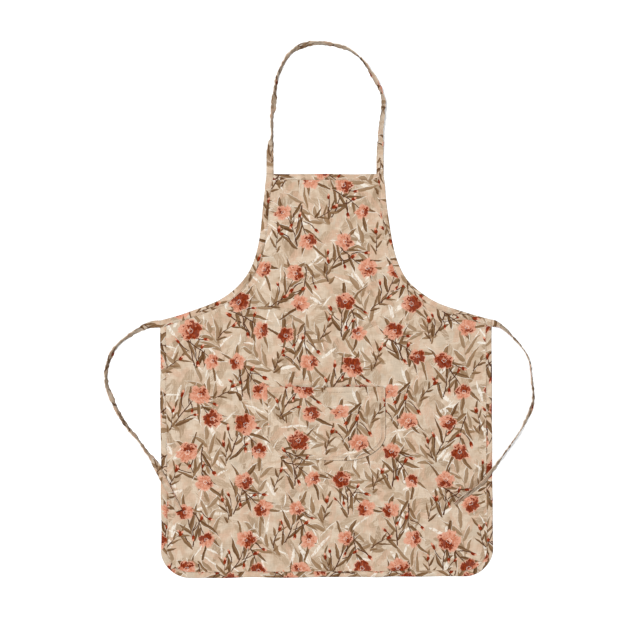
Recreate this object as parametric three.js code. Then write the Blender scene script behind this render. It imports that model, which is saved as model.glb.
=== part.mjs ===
// A bib apron of printed cotton, lying face up with its neck strap and waist ties spread on the floor.
// Millimetres, +Z up, +Y towards the neck, +X towards the right of the front as it is seen from above.
// The pieces are drawn with the middle of the bib's top edge at x = 0, y = 0 and the floor at z = 0.
// The finished group is moved so that its origin is on the floor under the middle of the panel.
import * as THREE from "three";

// Cloth
const CLOTH = 1.2; // one layer
const FOLDED_CLOTH = 2.4; // two layers, at a hem
const GAP = 0.3; // left between pieces that lie on each other

// Panel: one cut of cloth, with its edges turned under except along the armholes
const PANEL_WIDTH = 699;
const PANEL_LENGTH = 853;
const BIB_WIDTH = 250;
const ARMHOLE_DEPTH = 309; // bib top down to the waist corner
const ARMHOLE_BIB_HANDLE = { reach: 220, lean: 0.06 }; // the curve's pull at the bib, sideways per unit down
const ARMHOLE_WAIST_HANDLE = { reach: 200, slope: 0.25 }; // its pull at the waist, down per unit sideways
const BOTTOM_CORNER = 60; // radius
const HEM = 12;
const HEM_STEP = 2; // where the hem thins to one layer
const CORNER_STEP = 20; // first step of a top edge at each end, wider than its hem
const BOTTOM_BLEND = 0.35; // share of a sheet's rows over which the bend of its bottom edge fades out
const SKEW = 5; // how far the bottom lies to the right of the bib
const HEM_TILT = 5; // how much higher the bottom lies at its right end
const PANEL_COLUMNS = 24;
const ARMHOLE_ROWS = 20; // the panel's edge and its binding share these stations
const SIDE_ROWS = 16;
const CORNER_ROWS = 3;

// Soft folds of the panel: each runs from one point to another and lifts the cloth by its height
const FOLDS = [
  { name: "left of the skirt", from: [-205, -410], to: [-178, -810], height: 5, halfWidth: 42 },
  { name: "right of the skirt", from: [196, -420], to: [214, -830], height: 4.5, halfWidth: 38 },
  { name: "left waist", from: [-330, -395], to: [-150, -440], height: 3.5, halfWidth: 30 },
  { name: "right waist", from: [330, -400], to: [150, -425], height: 3.5, halfWidth: 28 },
  { name: "across the bib", from: [-95, -112], to: [88, -140], height: 3, halfWidth: 24 },
  { name: "below the bib", from: [-120, -330], to: [95, -300], height: 3, halfWidth: 30 },
  { name: "left of the hem", from: [-76, -670], to: [-52, -930], height: 4.5, halfWidth: 44 },
  { name: "right of the hem", from: [96, -660], to: [112, -940], height: 4, halfWidth: 36 },
];
const FOLD_RUNOUT = 0.3; // share of a fold's length over which it fades at each end

// Armhole binding: a tape folded lengthwise over the panel's raw edge
const BINDING_WIDTH = 13;
const BINDING_WALL = 1;
const BINDING_SLOT = CLOTH + 2 * GAP;
const BINDING_HEIGHT = 2 * BINDING_WALL + BINDING_SLOT;
const PANEL_INSET = BINDING_WALL + GAP; // from the binding's outer edge to the panel's raw edge
const BINDING_CLEARANCE = 8; // from the binding's inner edge to where the panel may thicken or come down
const BINDING_RAMP = 36; // over this width the panel comes down from the binding to the floor

// Patch pocket: sewn down along its sides and bottom, open at the top
const POCKET_DROP = 449; // bib top down to the pocket's mouth
const POCKET_WIDTH = 248;
const POCKET_DEPTH = 155;
const POCKET_CORNER = { across: 85, down: 55 };
const POCKET_HEM = 12;
const POCKET_BULGE = 8; // how far the mouth stands off the panel
const POCKET_BULGE_RAMP = 75; // from the seam to the full bulge
const POCKET_BULGE_LOSS = 0.75; // share of the bulge lost between the mouth and the bottom
const POCKET_COLUMNS = 16;
const POCKET_SIDE_ROWS = 7;
const POCKET_CORNER_ROWS = 4;

// Neck strap and waist ties: a tape folded in four and stitched flat
const TAPE_WIDTH = 15;
const TAPE = 1.8; // thickness
const TAPE_EDGE = 0.5; // chamfer of its edges
const TAPE_STEPS_PER_ROW = 2;
const STRAP_INSET = 9; // from the bib's corner to the middle of the neck strap
const TIE_DROP = TAPE_WIDTH / 2; // from the waist corner down to the middle of a tie
const TAPE_END_LIFT = (BINDING_HEIGHT - TAPE) / 2; // a tape leaves its binding at half height
const ON_PANEL = FOLDED_CLOTH + GAP; // lift of a tie where it lies over the panel's hem
const ON_CLOTH = CLOTH + GAP; // and past the hem

// Routes. x and y are the middle of the tape and lift is the height of what it lies on.
// roll turns the tape about its run, in degrees: 0 is flat, 90 stands it on its left edge, -90 on its
// right.
// heading is the run's direction where an end is cut square to the edge that it is sewn to.
const NECK_ROUTE = [
  { x: STRAP_INSET - BIB_WIDTH / 2, y: GAP, roll: 0, lift: TAPE_END_LIFT, heading: 90 },
  { x: -116, y: 29, roll: -4, lift: 0 },
  { x: -116, y: 59, roll: -22, lift: 0 },
  { x: -113, y: 93, roll: -60, lift: 0 },
  { x: -112, y: 124, roll: -64, lift: 0 },
  { x: -108, y: 150, roll: -46, lift: 0 },
  { x: -105, y: 177, roll: -56, lift: 0 },
  { x: -100, y: 207, roll: -64, lift: 0 },
  { x: -89, y: 231, roll: -69, lift: 0 },
  { x: -75, y: 253, roll: -67, lift: 0 },
  { x: -55, y: 269, roll: -61, lift: 0 },
  { x: -29, y: 276, roll: -62, lift: 0 },
  { x: 0, y: 274, roll: -69, lift: 0 },
  { x: 27, y: 271, roll: -73, lift: 0 },
  { x: 48, y: 265, roll: -80, lift: 0 },
  { x: 67, y: 252, roll: -84, lift: 0 },
  { x: 84, y: 235, roll: -76, lift: 0 },
  { x: 98, y: 214, roll: -60, lift: 0 },
  { x: 111, y: 192, roll: -53, lift: 0 },
  { x: 121, y: 169, roll: -49, lift: 0 },
  { x: 124, y: 146, roll: -45, lift: 0 },
  { x: 121, y: 117, roll: -40, lift: 0 },
  { x: 117, y: 84, roll: -31, lift: 0 },
  { x: 116, y: 52, roll: -18, lift: 0 },
  { x: 116, y: 24, roll: -4, lift: 0 },
  { x: BIB_WIDTH / 2 - STRAP_INSET, y: GAP, roll: 0, lift: TAPE_END_LIFT, heading: -90 },
];

const LEFT_TIE_ROUTE = [
  { x: -373, y: -320, roll: 0, lift: 0 },
  { x: -391, y: -328, roll: 22, lift: 0 },
  { x: -412, y: -341, roll: 50, lift: 0 },
  { x: -432, y: -356, roll: 57, lift: 0 },
  { x: -448, y: -376, roll: 57, lift: 0 },
  { x: -457, y: -399, roll: 55, lift: 0 },
  { x: -461, y: -424, roll: 62, lift: 0 },
  { x: -459, y: -447, roll: 60, lift: 0 },
  { x: -450, y: -471, roll: 48, lift: 0 },
  { x: -435, y: -504, roll: 60, lift: 0 },
  { x: -418, y: -531, roll: 72, lift: 0 },
  { x: -396, y: -557, roll: 73, lift: 0 },
  { x: -374, y: -588, roll: 58, lift: 1 },
  { x: -353, y: -614, roll: 10, lift: ON_PANEL },
  { x: -335, y: -647, roll: -8, lift: ON_PANEL },
  { x: -320, y: -679, roll: -8, lift: ON_PANEL },
  { x: -307, y: -709, roll: -6, lift: ON_CLOTH },
];

const RIGHT_TIE_ROUTE = [
  { x: 367, y: -318, roll: 10, lift: 0 },
  { x: 382, y: -330, roll: 46, lift: 0 },
  { x: 401, y: -350, roll: 68, lift: 0 },
  { x: 417, y: -369, roll: 73, lift: 0 },
  { x: 427, y: -386, roll: 79, lift: 0 },
  { x: 432, y: -403, roll: 84, lift: 0 },
  { x: 434, y: -422, roll: 76, lift: 0 },
  { x: 437, y: -447, roll: 63, lift: 0 },
  { x: 439, y: -471, roll: 57, lift: 0 },
  { x: 434, y: -495, roll: 55, lift: 0 },
  { x: 425, y: -516, roll: 62, lift: 0 },
  { x: 411, y: -541, roll: 82, lift: 0 },
  { x: 392, y: -569, roll: 84, lift: 0 },
  { x: 371, y: -598, roll: 73, lift: 1 },
  { x: 352, y: -624, roll: 62, lift: ON_PANEL },
  { x: 334, y: -648, roll: 57, lift: ON_PANEL },
  { x: 308, y: -669, roll: 60, lift: ON_CLOTH },
  { x: 286, y: -685, roll: 60, lift: ON_CLOTH },
  { x: 273, y: -696, roll: 58, lift: ON_CLOTH },
];

const CLOTH_FINISH = { roughness: 0.92, metalness: 0 };
const PRINT_COLOURS = { panel: "#c4aa92", pocket: "#bfa48b", tape: "#b89f87" };

const { lerp, smoothstep, degToRad } = THREE.MathUtils;

// Where a point of the flat cut comes to lie: the bottom is drawn to the right and tilted a little
function laid(point) {
  const down = -point.y / PANEL_LENGTH;
  const across = point.x / PANEL_WIDTH + 0.5;
  return new THREE.Vector2(point.x + SKEW * down, point.y + HEM_TILT * down * across);
}

function mirrored(points) {
  return points.map((point) => new THREE.Vector2(-point.x, point.y));
}

// Joins runs of points end to end, without the point that each shares with the run before it
function joined(...runs) {
  return runs.flatMap((run, index) => (index === 0 ? run : run.slice(1)));
}

function distanceTo(path, point) {
  const nearest = new THREE.Vector2();
  let least = Infinity;
  for (let k = 0; k + 1 < path.length; k += 1) {
    const run = path[k + 1].clone().sub(path[k]);
    const share = THREE.MathUtils.clamp(point.clone().sub(path[k]).dot(run) / run.lengthSq(), 0, 1);
    nearest.copy(path[k]).addScaledVector(run, share);
    least = Math.min(least, nearest.distanceTo(point));
  }
  return least;
}

// The horizontal direction to the left of a run at its point k
function leftOf(points, k) {
  const from = points[Math.max(k - 1, 0)];
  const to = points[Math.min(k + 1, points.length - 1)];
  return new THREE.Vector2(from.y - to.y, to.x - from.x).normalize();
}

// The right armhole's finished edge from the bib down to the waist. Each station has a point and the way
// inwards, square to the edge and of unit depth, but level with the bib's top and the side at the ends.
function armholeStations() {
  const { reach: bibReach, lean } = ARMHOLE_BIB_HANDLE;
  const { reach: waistReach, slope } = ARMHOLE_WAIST_HANDLE;
  const bibCorner = new THREE.Vector2(BIB_WIDTH / 2, 0);
  const waistCorner = new THREE.Vector2(PANEL_WIDTH / 2, -ARMHOLE_DEPTH);
  const bibPull = new THREE.Vector2(lean, -1).setLength(bibReach);
  const waistPull = new THREE.Vector2(-1, slope).setLength(waistReach);
  const curve = new THREE.CubicBezierCurve(
    bibCorner,
    bibCorner.clone().add(bibPull),
    waistCorner.clone().add(waistPull),
    waistCorner,
  );
  const points = curve.getSpacedPoints(ARMHOLE_ROWS);
  return points.map((point, k) => {
    const square = leftOf(points, k).negate();
    let inward = square;
    if (k === 0) inward = new THREE.Vector2(-1, 0);
    if (k === ARMHOLE_ROWS) inward = new THREE.Vector2(0, -1);
    return { point, inward: inward.clone().divideScalar(inward.dot(square)) };
  });
}

function insetArmhole(depth) {
  return armholeStations().map(({ point, inward }) => point.clone().addScaledVector(inward, depth));
}

// A level edge from the left to its right end, in even steps except for the first and the last
function topEdge(rightEnd, columns) {
  const right = rightEnd.clone().setX(rightEnd.x - CORNER_STEP);
  const even = new THREE.LineCurve(new THREE.Vector2(-right.x, right.y), right).getPoints(columns - 2);
  return [new THREE.Vector2(-rightEnd.x, rightEnd.y), ...even, rightEnd];
}

// The four edges of a patch that has rounded lower corners, each split at the middle of a corner
function patchEdges({ top, rightSide, bottomY, corner, columns, cornerRows }) {
  const lowest = rightSide[rightSide.length - 1];
  const centre = new THREE.Vector2(lowest.x - corner.across, bottomY + corner.down);
  const arc = new THREE.EllipseCurve(centre.x, centre.y, corner.across, corner.down, 0, -Math.PI / 2, true);
  const arcPoints = arc.getPoints(2 * cornerRows);
  const right = joined(rightSide, arcPoints.slice(0, cornerRows + 1)).reverse();
  const underRight = arcPoints.slice(cornerRows).reverse();
  const flat = new THREE.LineCurve(new THREE.Vector2(-centre.x, bottomY), underRight[0]);
  const flatPoints = flat.getPoints(columns - 2 * cornerRows);
  const bottom = joined(mirrored(underRight).reverse(), flatPoints, underRight);
  return { top, bottom, right, left: mirrored(right) };
}

// The edges as one closed loop, anticlockwise seen from above, starting at the bottom left
function loopOf({ top, bottom, left, right }) {
  const backAlongTop = [...top].reverse();
  const downLeft = [...left].reverse();
  return joined(bottom, right, backAlongTop, downLeft).slice(0, -1);
}

// A loop drawn inside another at an even distance, with mitred corners
function insetLoop(loop, distance) {
  const inward = (from, to) => new THREE.Vector2(from.y - to.y, to.x - from.x).normalize();
  return loop.map((point, k) => {
    const before = inward(loop[(k + loop.length - 1) % loop.length], point);
    const after = inward(point, loop[(k + 1) % loop.length]);
    const mitre = before.clone().add(after).divideScalar(1 + before.dot(after));
    return point.clone().addScaledVector(mitre, distance);
  });
}

// A closed geometry from vertices and faces of three or four corners
function solid(vertices, faces) {
  const triangles = faces.flatMap(([a, b, c, d]) => (d === undefined ? [a, b, c] : [a, b, c, a, c, d]));
  const positions = vertices.flatMap((vertex) => vertex.toArray());
  const geometry = new THREE.BufferGeometry();
  geometry.setAttribute("position", new THREE.Float32BufferAttribute(positions, 3));
  geometry.setIndex(triangles);
  geometry.computeVertexNormals();
  return geometry;
}

// A sheet of cloth over the plan of a loop: rings of cells along its edge, then a grid across its middle.
// underside and thickness give the sheet's height and wall at a point of the plan.
function sheet({ loop, columns, rows, insets, underside, thickness }) {
  const rings = [loop, ...insets.map((distance) => insetLoop(loop, distance))];
  const inner = rings[rings.length - 1];
  const count = loop.length;
  const ringIndex = (i, j) => {
    if (j === 0) return i;
    if (i === columns) return columns + j;
    if (j === rows) return 2 * columns + rows - i;
    return (2 * columns + 2 * rows - j) % count;
  };
  const edge = (i, j) => inner[ringIndex(i, j)];
  const straight = (j, share) => edge(0, j).clone().lerp(edge(columns, j), share);
  const shareAcross = (i, j) => (edge(i, j).x - edge(0, j).x) / (edge(columns, j).x - edge(0, j).x);
  // The grid's point at column i, row j: on a straight line across the row, as the top edge is. The bend of
  // the bottom edge fades out over the lowest rows.
  const blended = (i, j) => {
    const up = j / rows;
    const bottomShare = shareAcross(i, 0);
    const bottomBend = edge(i, 0).clone().sub(straight(0, bottomShare));
    const point = straight(j, lerp(bottomShare, shareAcross(i, rows), up));
    return point.addScaledVector(bottomBend, 1 - smoothstep(up, 0, BOTTOM_BLEND));
  };

  const plan = rings.flat();
  const gridStart = plan.length;
  for (let j = 1; j < rows; j += 1) {
    for (let i = 1; i < columns; i += 1) plan.push(blended(i, j));
  }
  const gridIndex = (i, j) => {
    const onEdge = i === 0 || j === 0 || i === columns || j === rows;
    if (onEdge) return gridStart - count + ringIndex(i, j);
    return gridStart + (j - 1) * (columns - 1) + i - 1;
  };

  const cells = [];
  for (let ring = 0; ring + 1 < rings.length; ring += 1) {
    const outer = ring * count;
    for (let k = 0; k < count; k += 1) {
      const next = (k + 1) % count;
      cells.push([outer + k, outer + next, outer + count + next, outer + count + k]);
    }
  }
  for (let j = 0; j < rows; j += 1) {
    for (let i = 0; i < columns; i += 1) {
      cells.push([gridIndex(i, j), gridIndex(i + 1, j), gridIndex(i + 1, j + 1), gridIndex(i, j + 1)]);
    }
  }

  const lower = plan.map((p) => new THREE.Vector3(p.x, p.y, underside(p)));
  const upper = plan.map((p, k) => new THREE.Vector3(p.x, p.y, lower[k].z + thickness(p)));
  const above = plan.length;
  const faces = [];
  for (const cell of cells) {
    faces.push(cell.map((k) => above + k));
    faces.push([...cell].reverse());
  }
  for (let k = 0; k < count; k += 1) {
    const next = (k + 1) % count;
    faces.push([k, next, above + next, above + k]);
  }
  return solid([...lower, ...upper], faces);
}

// A solid through sections with equal numbers of corners, closed by the outline's flat ends.
// A section goes anticlockwise as seen from the end of the run.
function loft(sections, outline) {
  const corners = outline.length;
  const last = (sections.length - 1) * corners;
  const faces = [];
  for (let k = 0; k + 1 < sections.length; k += 1) {
    for (let v = 0; v < corners; v += 1) {
      const next = (v + 1) % corners;
      const here = k * corners;
      const there = here + corners;
      faces.push([here + v, here + next, there + next, there + v]);
    }
  }
  for (const [a, b, c] of THREE.ShapeUtils.triangulateShape(outline, [])) {
    faces.push([c, b, a]);
    faces.push([last + a, last + b, last + c]);
  }
  return solid(sections.flat(), faces);
}

function foldHeight(point) {
  let height = 0;
  for (const fold of FOLDS) {
    const from = new THREE.Vector2(...fold.from);
    const run = new THREE.Vector2(...fold.to).sub(from);
    const offset = point.clone().sub(from);
    const along = offset.dot(run) / run.lengthSq();
    const across = Math.min(Math.abs(offset.cross(run)) / run.length() / fold.halfWidth, 1);
    const fade = smoothstep(along, 0, FOLD_RUNOUT) * smoothstep(1 - along, 0, FOLD_RUNOUT);
    height += fold.height * fade * Math.cos((across * Math.PI) / 2) ** 2;
  }
  return height;
}

function panelGeometry() {
  const armholePoints = insetArmhole(PANEL_INSET);
  const waistCorner = armholePoints[ARMHOLE_ROWS];
  const sideEnd = new THREE.Vector2(PANEL_WIDTH / 2, BOTTOM_CORNER - PANEL_LENGTH);
  const bindingReach = BINDING_WIDTH + BINDING_CLEARANCE;
  const underBinding = waistCorner.clone().setY(waistCorner.y - bindingReach);
  const hemReach = bindingReach + 2 * HEM_STEP;
  const hemStart = waistCorner.clone().setY(waistCorner.y - hemReach - HEM_STEP);
  const hemmedSide = new THREE.LineCurve(hemStart, sideEnd).getPoints(SIDE_ROWS - 2);
  const sidePoints = [waistCorner, underBinding, ...hemmedSide];
  const edges = patchEdges({
    top: topEdge(armholePoints[0], PANEL_COLUMNS),
    rightSide: joined(armholePoints, sidePoints),
    bottomY: -PANEL_LENGTH,
    corner: { across: BOTTOM_CORNER, down: BOTTOM_CORNER },
    columns: PANEL_COLUMNS,
    cornerRows: CORNER_ROWS,
  });
  const loop = loopOf(edges).map(laid);
  const armholes = [armholePoints.map(laid), mirrored(armholePoints).map(laid)];
  const fromArmhole = (p) => Math.min(...armholes.map((path) => distanceTo(path, p)));
  const skirtEdge = joined(mirrored(sidePoints), edges.bottom, [...sidePoints].reverse()).map(laid);
  const hems = [edges.top.map(laid), skirtEdge];
  const fromHem = (p) => Math.min(...hems.map((path) => distanceTo(path, p)));

  return sheet({
    loop,
    columns: PANEL_COLUMNS,
    rows: ARMHOLE_ROWS + SIDE_ROWS + CORNER_ROWS,
    insets: [HEM, HEM + HEM_STEP],
    underside: (p) => {
      const free = smoothstep(fromArmhole(p), bindingReach, bindingReach + BINDING_RAMP);
      return PANEL_INSET * (1 - free) + foldHeight(p) * free;
    },
    thickness: (p) => {
      const inHem = fromHem(p) < HEM + HEM_STEP / 2;
      const pastBinding = fromArmhole(p) > hemReach;
      return inHem && pastBinding ? FOLDED_CLOTH : CLOTH;
    },
  });
}

function pocketGeometry() {
  const half = POCKET_WIDTH / 2;
  const mouthY = -POCKET_DROP;
  const bottomY = mouthY - POCKET_DEPTH;
  const mouthEnd = new THREE.Vector2(half, mouthY);
  const sideEnd = new THREE.Vector2(half, bottomY + POCKET_CORNER.down);
  const sidePoints = new THREE.LineCurve(mouthEnd, sideEnd).getPoints(POCKET_SIDE_ROWS);
  const edges = patchEdges({
    top: topEdge(mouthEnd, POCKET_COLUMNS),
    rightSide: sidePoints,
    bottomY,
    corner: POCKET_CORNER,
    columns: POCKET_COLUMNS,
    cornerRows: POCKET_CORNER_ROWS,
  });
  const loop = loopOf(edges).map(laid);
  const seam = joined([...edges.left].reverse(), edges.bottom, edges.right).map(laid);
  const laidMouth = edges.top.map(laid);

  return sheet({
    loop,
    columns: POCKET_COLUMNS,
    rows: POCKET_SIDE_ROWS + POCKET_CORNER_ROWS,
    insets: [POCKET_HEM, POCKET_HEM + HEM_STEP],
    underside: (p) => {
      const belowMouth = Math.min(distanceTo(laidMouth, p) / POCKET_DEPTH, 1);
      const open = 1 - POCKET_BULGE_LOSS * belowMouth;
      return ON_CLOTH + POCKET_BULGE * open * smoothstep(distanceTo(seam, p), 0, POCKET_BULGE_RAMP);
    },
    thickness: (p) => {
      const fromEdge = Math.min(distanceTo(seam, p), distanceTo(laidMouth, p));
      return fromEdge < POCKET_HEM + HEM_STEP / 2 ? FOLDED_CLOTH : CLOTH;
    },
  });
}

// side is 1 for the right armhole and -1 for the left. Either run has the panel on its left.
function bindingGeometry(side) {
  const top = BINDING_HEIGHT;
  const outline = [
    [0, 0],
    [BINDING_WIDTH, 0],
    [BINDING_WIDTH, BINDING_WALL],
    [BINDING_WALL, BINDING_WALL],
    [BINDING_WALL, top - BINDING_WALL],
    [BINDING_WIDTH, top - BINDING_WALL],
    [BINDING_WIDTH, top],
    [0, top],
  ].map(([depth, height]) => new THREE.Vector2(depth, height));

  const sections = armholeStations().map(({ point, inward }) =>
    outline.map(({ x: depth, y: height }) => {
      const flat = point.clone().addScaledVector(inward, depth);
      const plan = laid(flat.setX(side * flat.x));
      return new THREE.Vector3(plan.x, plan.y, height);
    }),
  );
  if (side > 0) sections.reverse();
  return loft(sections, outline);
}

function tapeGeometry(route) {
  const half = TAPE_WIDTH / 2;
  const face = TAPE / 2;
  const outline = [
    [-half + TAPE_EDGE, -face],
    [half - TAPE_EDGE, -face],
    [half, -face + TAPE_EDGE],
    [half, face - TAPE_EDGE],
    [half - TAPE_EDGE, face],
    [-half + TAPE_EDGE, face],
    [-half, face - TAPE_EDGE],
    [-half, -face + TAPE_EDGE],
  ].map(([across, height]) => new THREE.Vector2(across, height));

  const middle = new THREE.CatmullRomCurve3(route.map((row) => new THREE.Vector3(row.x, row.y, row.lift)));
  const turn = new THREE.CatmullRomCurve3(route.map((row) => new THREE.Vector3(row.roll, 0, 0)));
  const steps = (route.length - 1) * TAPE_STEPS_PER_ROW;
  const run = middle.getPoints(steps);
  const rolls = turn.getPoints(steps).map((row) => degToRad(row.x));

  const headings = { 0: route[0].heading, [steps]: route[route.length - 1].heading };

  const sections = run.map((point, k) => {
    const heading = headings[k];
    const left = leftOf(run, k);
    if (heading !== undefined) left.set(-Math.sin(degToRad(heading)), Math.cos(degToRad(heading)));
    const cos = Math.cos(rolls[k]);
    const sin = Math.sin(rolls[k]);
    const height = Math.max(point.z, 0) + half * Math.abs(sin) + face * Math.abs(cos);
    return outline.map(({ x, y }) => {
      const plan = new THREE.Vector2(point.x, point.y).addScaledVector(left, x * cos + y * sin);
      return new THREE.Vector3(plan.x, plan.y, height - x * sin + y * cos);
    });
  });
  return loft(sections, outline);
}

// A tie starts at the panel's side, level with the end of the armhole binding
function tieGeometry(side, route) {
  const corner = laid(new THREE.Vector2((side * PANEL_WIDTH) / 2, -ARMHOLE_DEPTH));
  const place = { x: corner.x + side * GAP, y: corner.y - TIE_DROP };
  const start = { ...place, roll: 0, lift: TAPE_END_LIFT, heading: side > 0 ? 0 : 180 };
  return tapeGeometry([start, ...route]);
}

function piece(name, geometry, colour) {
  const mesh = new THREE.Mesh(geometry, new THREE.MeshStandardMaterial({ color: colour, ...CLOTH_FINISH }));
  mesh.name = name;
  return mesh;
}

const clothPieces = [
  piece("apron_panel", panelGeometry(), PRINT_COLOURS.panel),
  piece("pocket", pocketGeometry(), PRINT_COLOURS.pocket),
  piece("armhole_binding_left", bindingGeometry(-1), PRINT_COLOURS.tape),
  piece("armhole_binding_right", bindingGeometry(1), PRINT_COLOURS.tape),
];
const tapePieces = [
  piece("neck_strap", tapeGeometry(NECK_ROUTE), PRINT_COLOURS.tape),
  piece("waist_tie_left", tieGeometry(-1, LEFT_TIE_ROUTE), PRINT_COLOURS.tape),
  piece("waist_tie_right", tieGeometry(1, RIGHT_TIE_ROUTE), PRINT_COLOURS.tape),
];

const apron = new THREE.Group();
apron.add(...clothPieces, ...tapePieces);
const clothBox = new THREE.Box3();
clothPieces.forEach((mesh) => clothBox.expandByObject(mesh));
const middle = clothBox.getCenter(new THREE.Vector3());
apron.position.set(-middle.x, -middle.y, -clothBox.min.z);

export default apron;
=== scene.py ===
"""A bib apron of printed cotton, laid flat and face up, with its strap and ties spread beside it."""
import math

import bpy
import numpy as np
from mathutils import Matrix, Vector
from mathutils.kdtree import KDTree


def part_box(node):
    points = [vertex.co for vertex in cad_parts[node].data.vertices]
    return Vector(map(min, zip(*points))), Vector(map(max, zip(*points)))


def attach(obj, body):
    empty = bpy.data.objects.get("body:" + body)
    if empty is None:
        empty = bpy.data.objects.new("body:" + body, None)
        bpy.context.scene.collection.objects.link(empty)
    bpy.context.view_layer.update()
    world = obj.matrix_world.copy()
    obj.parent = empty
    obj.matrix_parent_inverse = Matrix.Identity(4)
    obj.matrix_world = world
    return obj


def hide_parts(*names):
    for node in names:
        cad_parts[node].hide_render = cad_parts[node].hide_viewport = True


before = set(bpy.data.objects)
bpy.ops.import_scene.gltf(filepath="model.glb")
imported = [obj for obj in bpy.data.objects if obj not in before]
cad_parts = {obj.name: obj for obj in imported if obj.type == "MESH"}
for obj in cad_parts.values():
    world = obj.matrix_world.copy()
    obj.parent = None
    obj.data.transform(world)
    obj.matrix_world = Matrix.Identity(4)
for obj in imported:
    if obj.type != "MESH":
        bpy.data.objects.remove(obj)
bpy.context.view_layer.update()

# Camera
# It looks straight down at the laid apron from an overhead arm, far enough off for a nearly flat view.
# Places on the cloth are counted from the middle of the bib's top edge.
MM = 0.001
PICTURE_PIXELS = 640
PIXEL = 2.11 * MM  # of the floor
BIB_MIDDLE_PIXEL = (325, 174)
LENS_MM = 85
SENSOR_MM = 36
BIB_MIDDLE_X = -3.23 * MM
bib_middle = np.array((BIB_MIDDLE_X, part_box("apron_panel")[1].y))


def put(name, data):
    """A new object in the scene, at the origin."""
    item = bpy.data.objects.new(name, data)
    bpy.context.scene.collection.objects.link(item)
    return item


camera_data = bpy.data.cameras.new("overhead_camera")
camera_data.lens = LENS_MM
camera_data.sensor_width = SENSOR_MM
camera = put("overhead_camera", camera_data)
camera.location = (
    bib_middle[0] + (PICTURE_PIXELS / 2 - BIB_MIDDLE_PIXEL[0]) * PIXEL,
    bib_middle[1] + (BIB_MIDDLE_PIXEL[1] - PICTURE_PIXELS / 2) * PIXEL,
    PICTURE_PIXELS * PIXEL * LENS_MM / SENSOR_MM,
)
bpy.context.scene.camera = camera
bpy.context.scene.view_settings.view_transform = "Standard"


# Printed cotton
# Every piece is cut from one bolt of matt plain-weave cotton. Its print is a loose, brushed all-over floral:
# open five-petalled blooms in salmon and rust on leafy brown sprays, over a beige ground with paler and
# darker leaves washed in behind. The groups below read a place on the flat cloth, in millimetres.
def srgb(red, green, blue):
    """A linear colour from sRGB values of 0 to 255."""
    channels = np.array((red, green, blue)) / 255
    linear = np.where(channels <= 0.04045, channels / 12.92, ((channels + 0.055) / 1.055) ** 2.4)
    return (*linear.tolist(), 1.0)


BEIGE = srgb(196, 171, 145)
BEIGE_LIGHT = srgb(214, 193, 170)
BEIGE_DEEP = srgb(181, 155, 128)
BEIGE_PINK = srgb(206, 169, 142)
BEIGE_GREY = srgb(201, 183, 161)
TAUPE = srgb(163, 136, 109)
CREAM = srgb(242, 233, 220)
LEAF_DARK = srgb(93, 60, 31)
LEAF_LIGHT = srgb(147, 114, 82)
LEAF_FADED = srgb(165, 138, 111)
STEM_BROWN = srgb(80, 45, 27)
RUST = srgb(118, 34, 5)
RUST_LIGHT = srgb(158, 63, 26)
SALMON_DEEP = srgb(196, 118, 88)
SALMON = srgb(214, 143, 114)
SALMON_LIGHT = srgb(228, 172, 146)


def fill(socket, value):
    """Links a socket to a reading or another socket, or sets its value."""
    if isinstance(value, Reading):
        value = value.socket
    if isinstance(value, bpy.types.NodeSocket):
        socket.id_data.links.new(value, socket)
    else:
        socket.default_value = value


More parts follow.
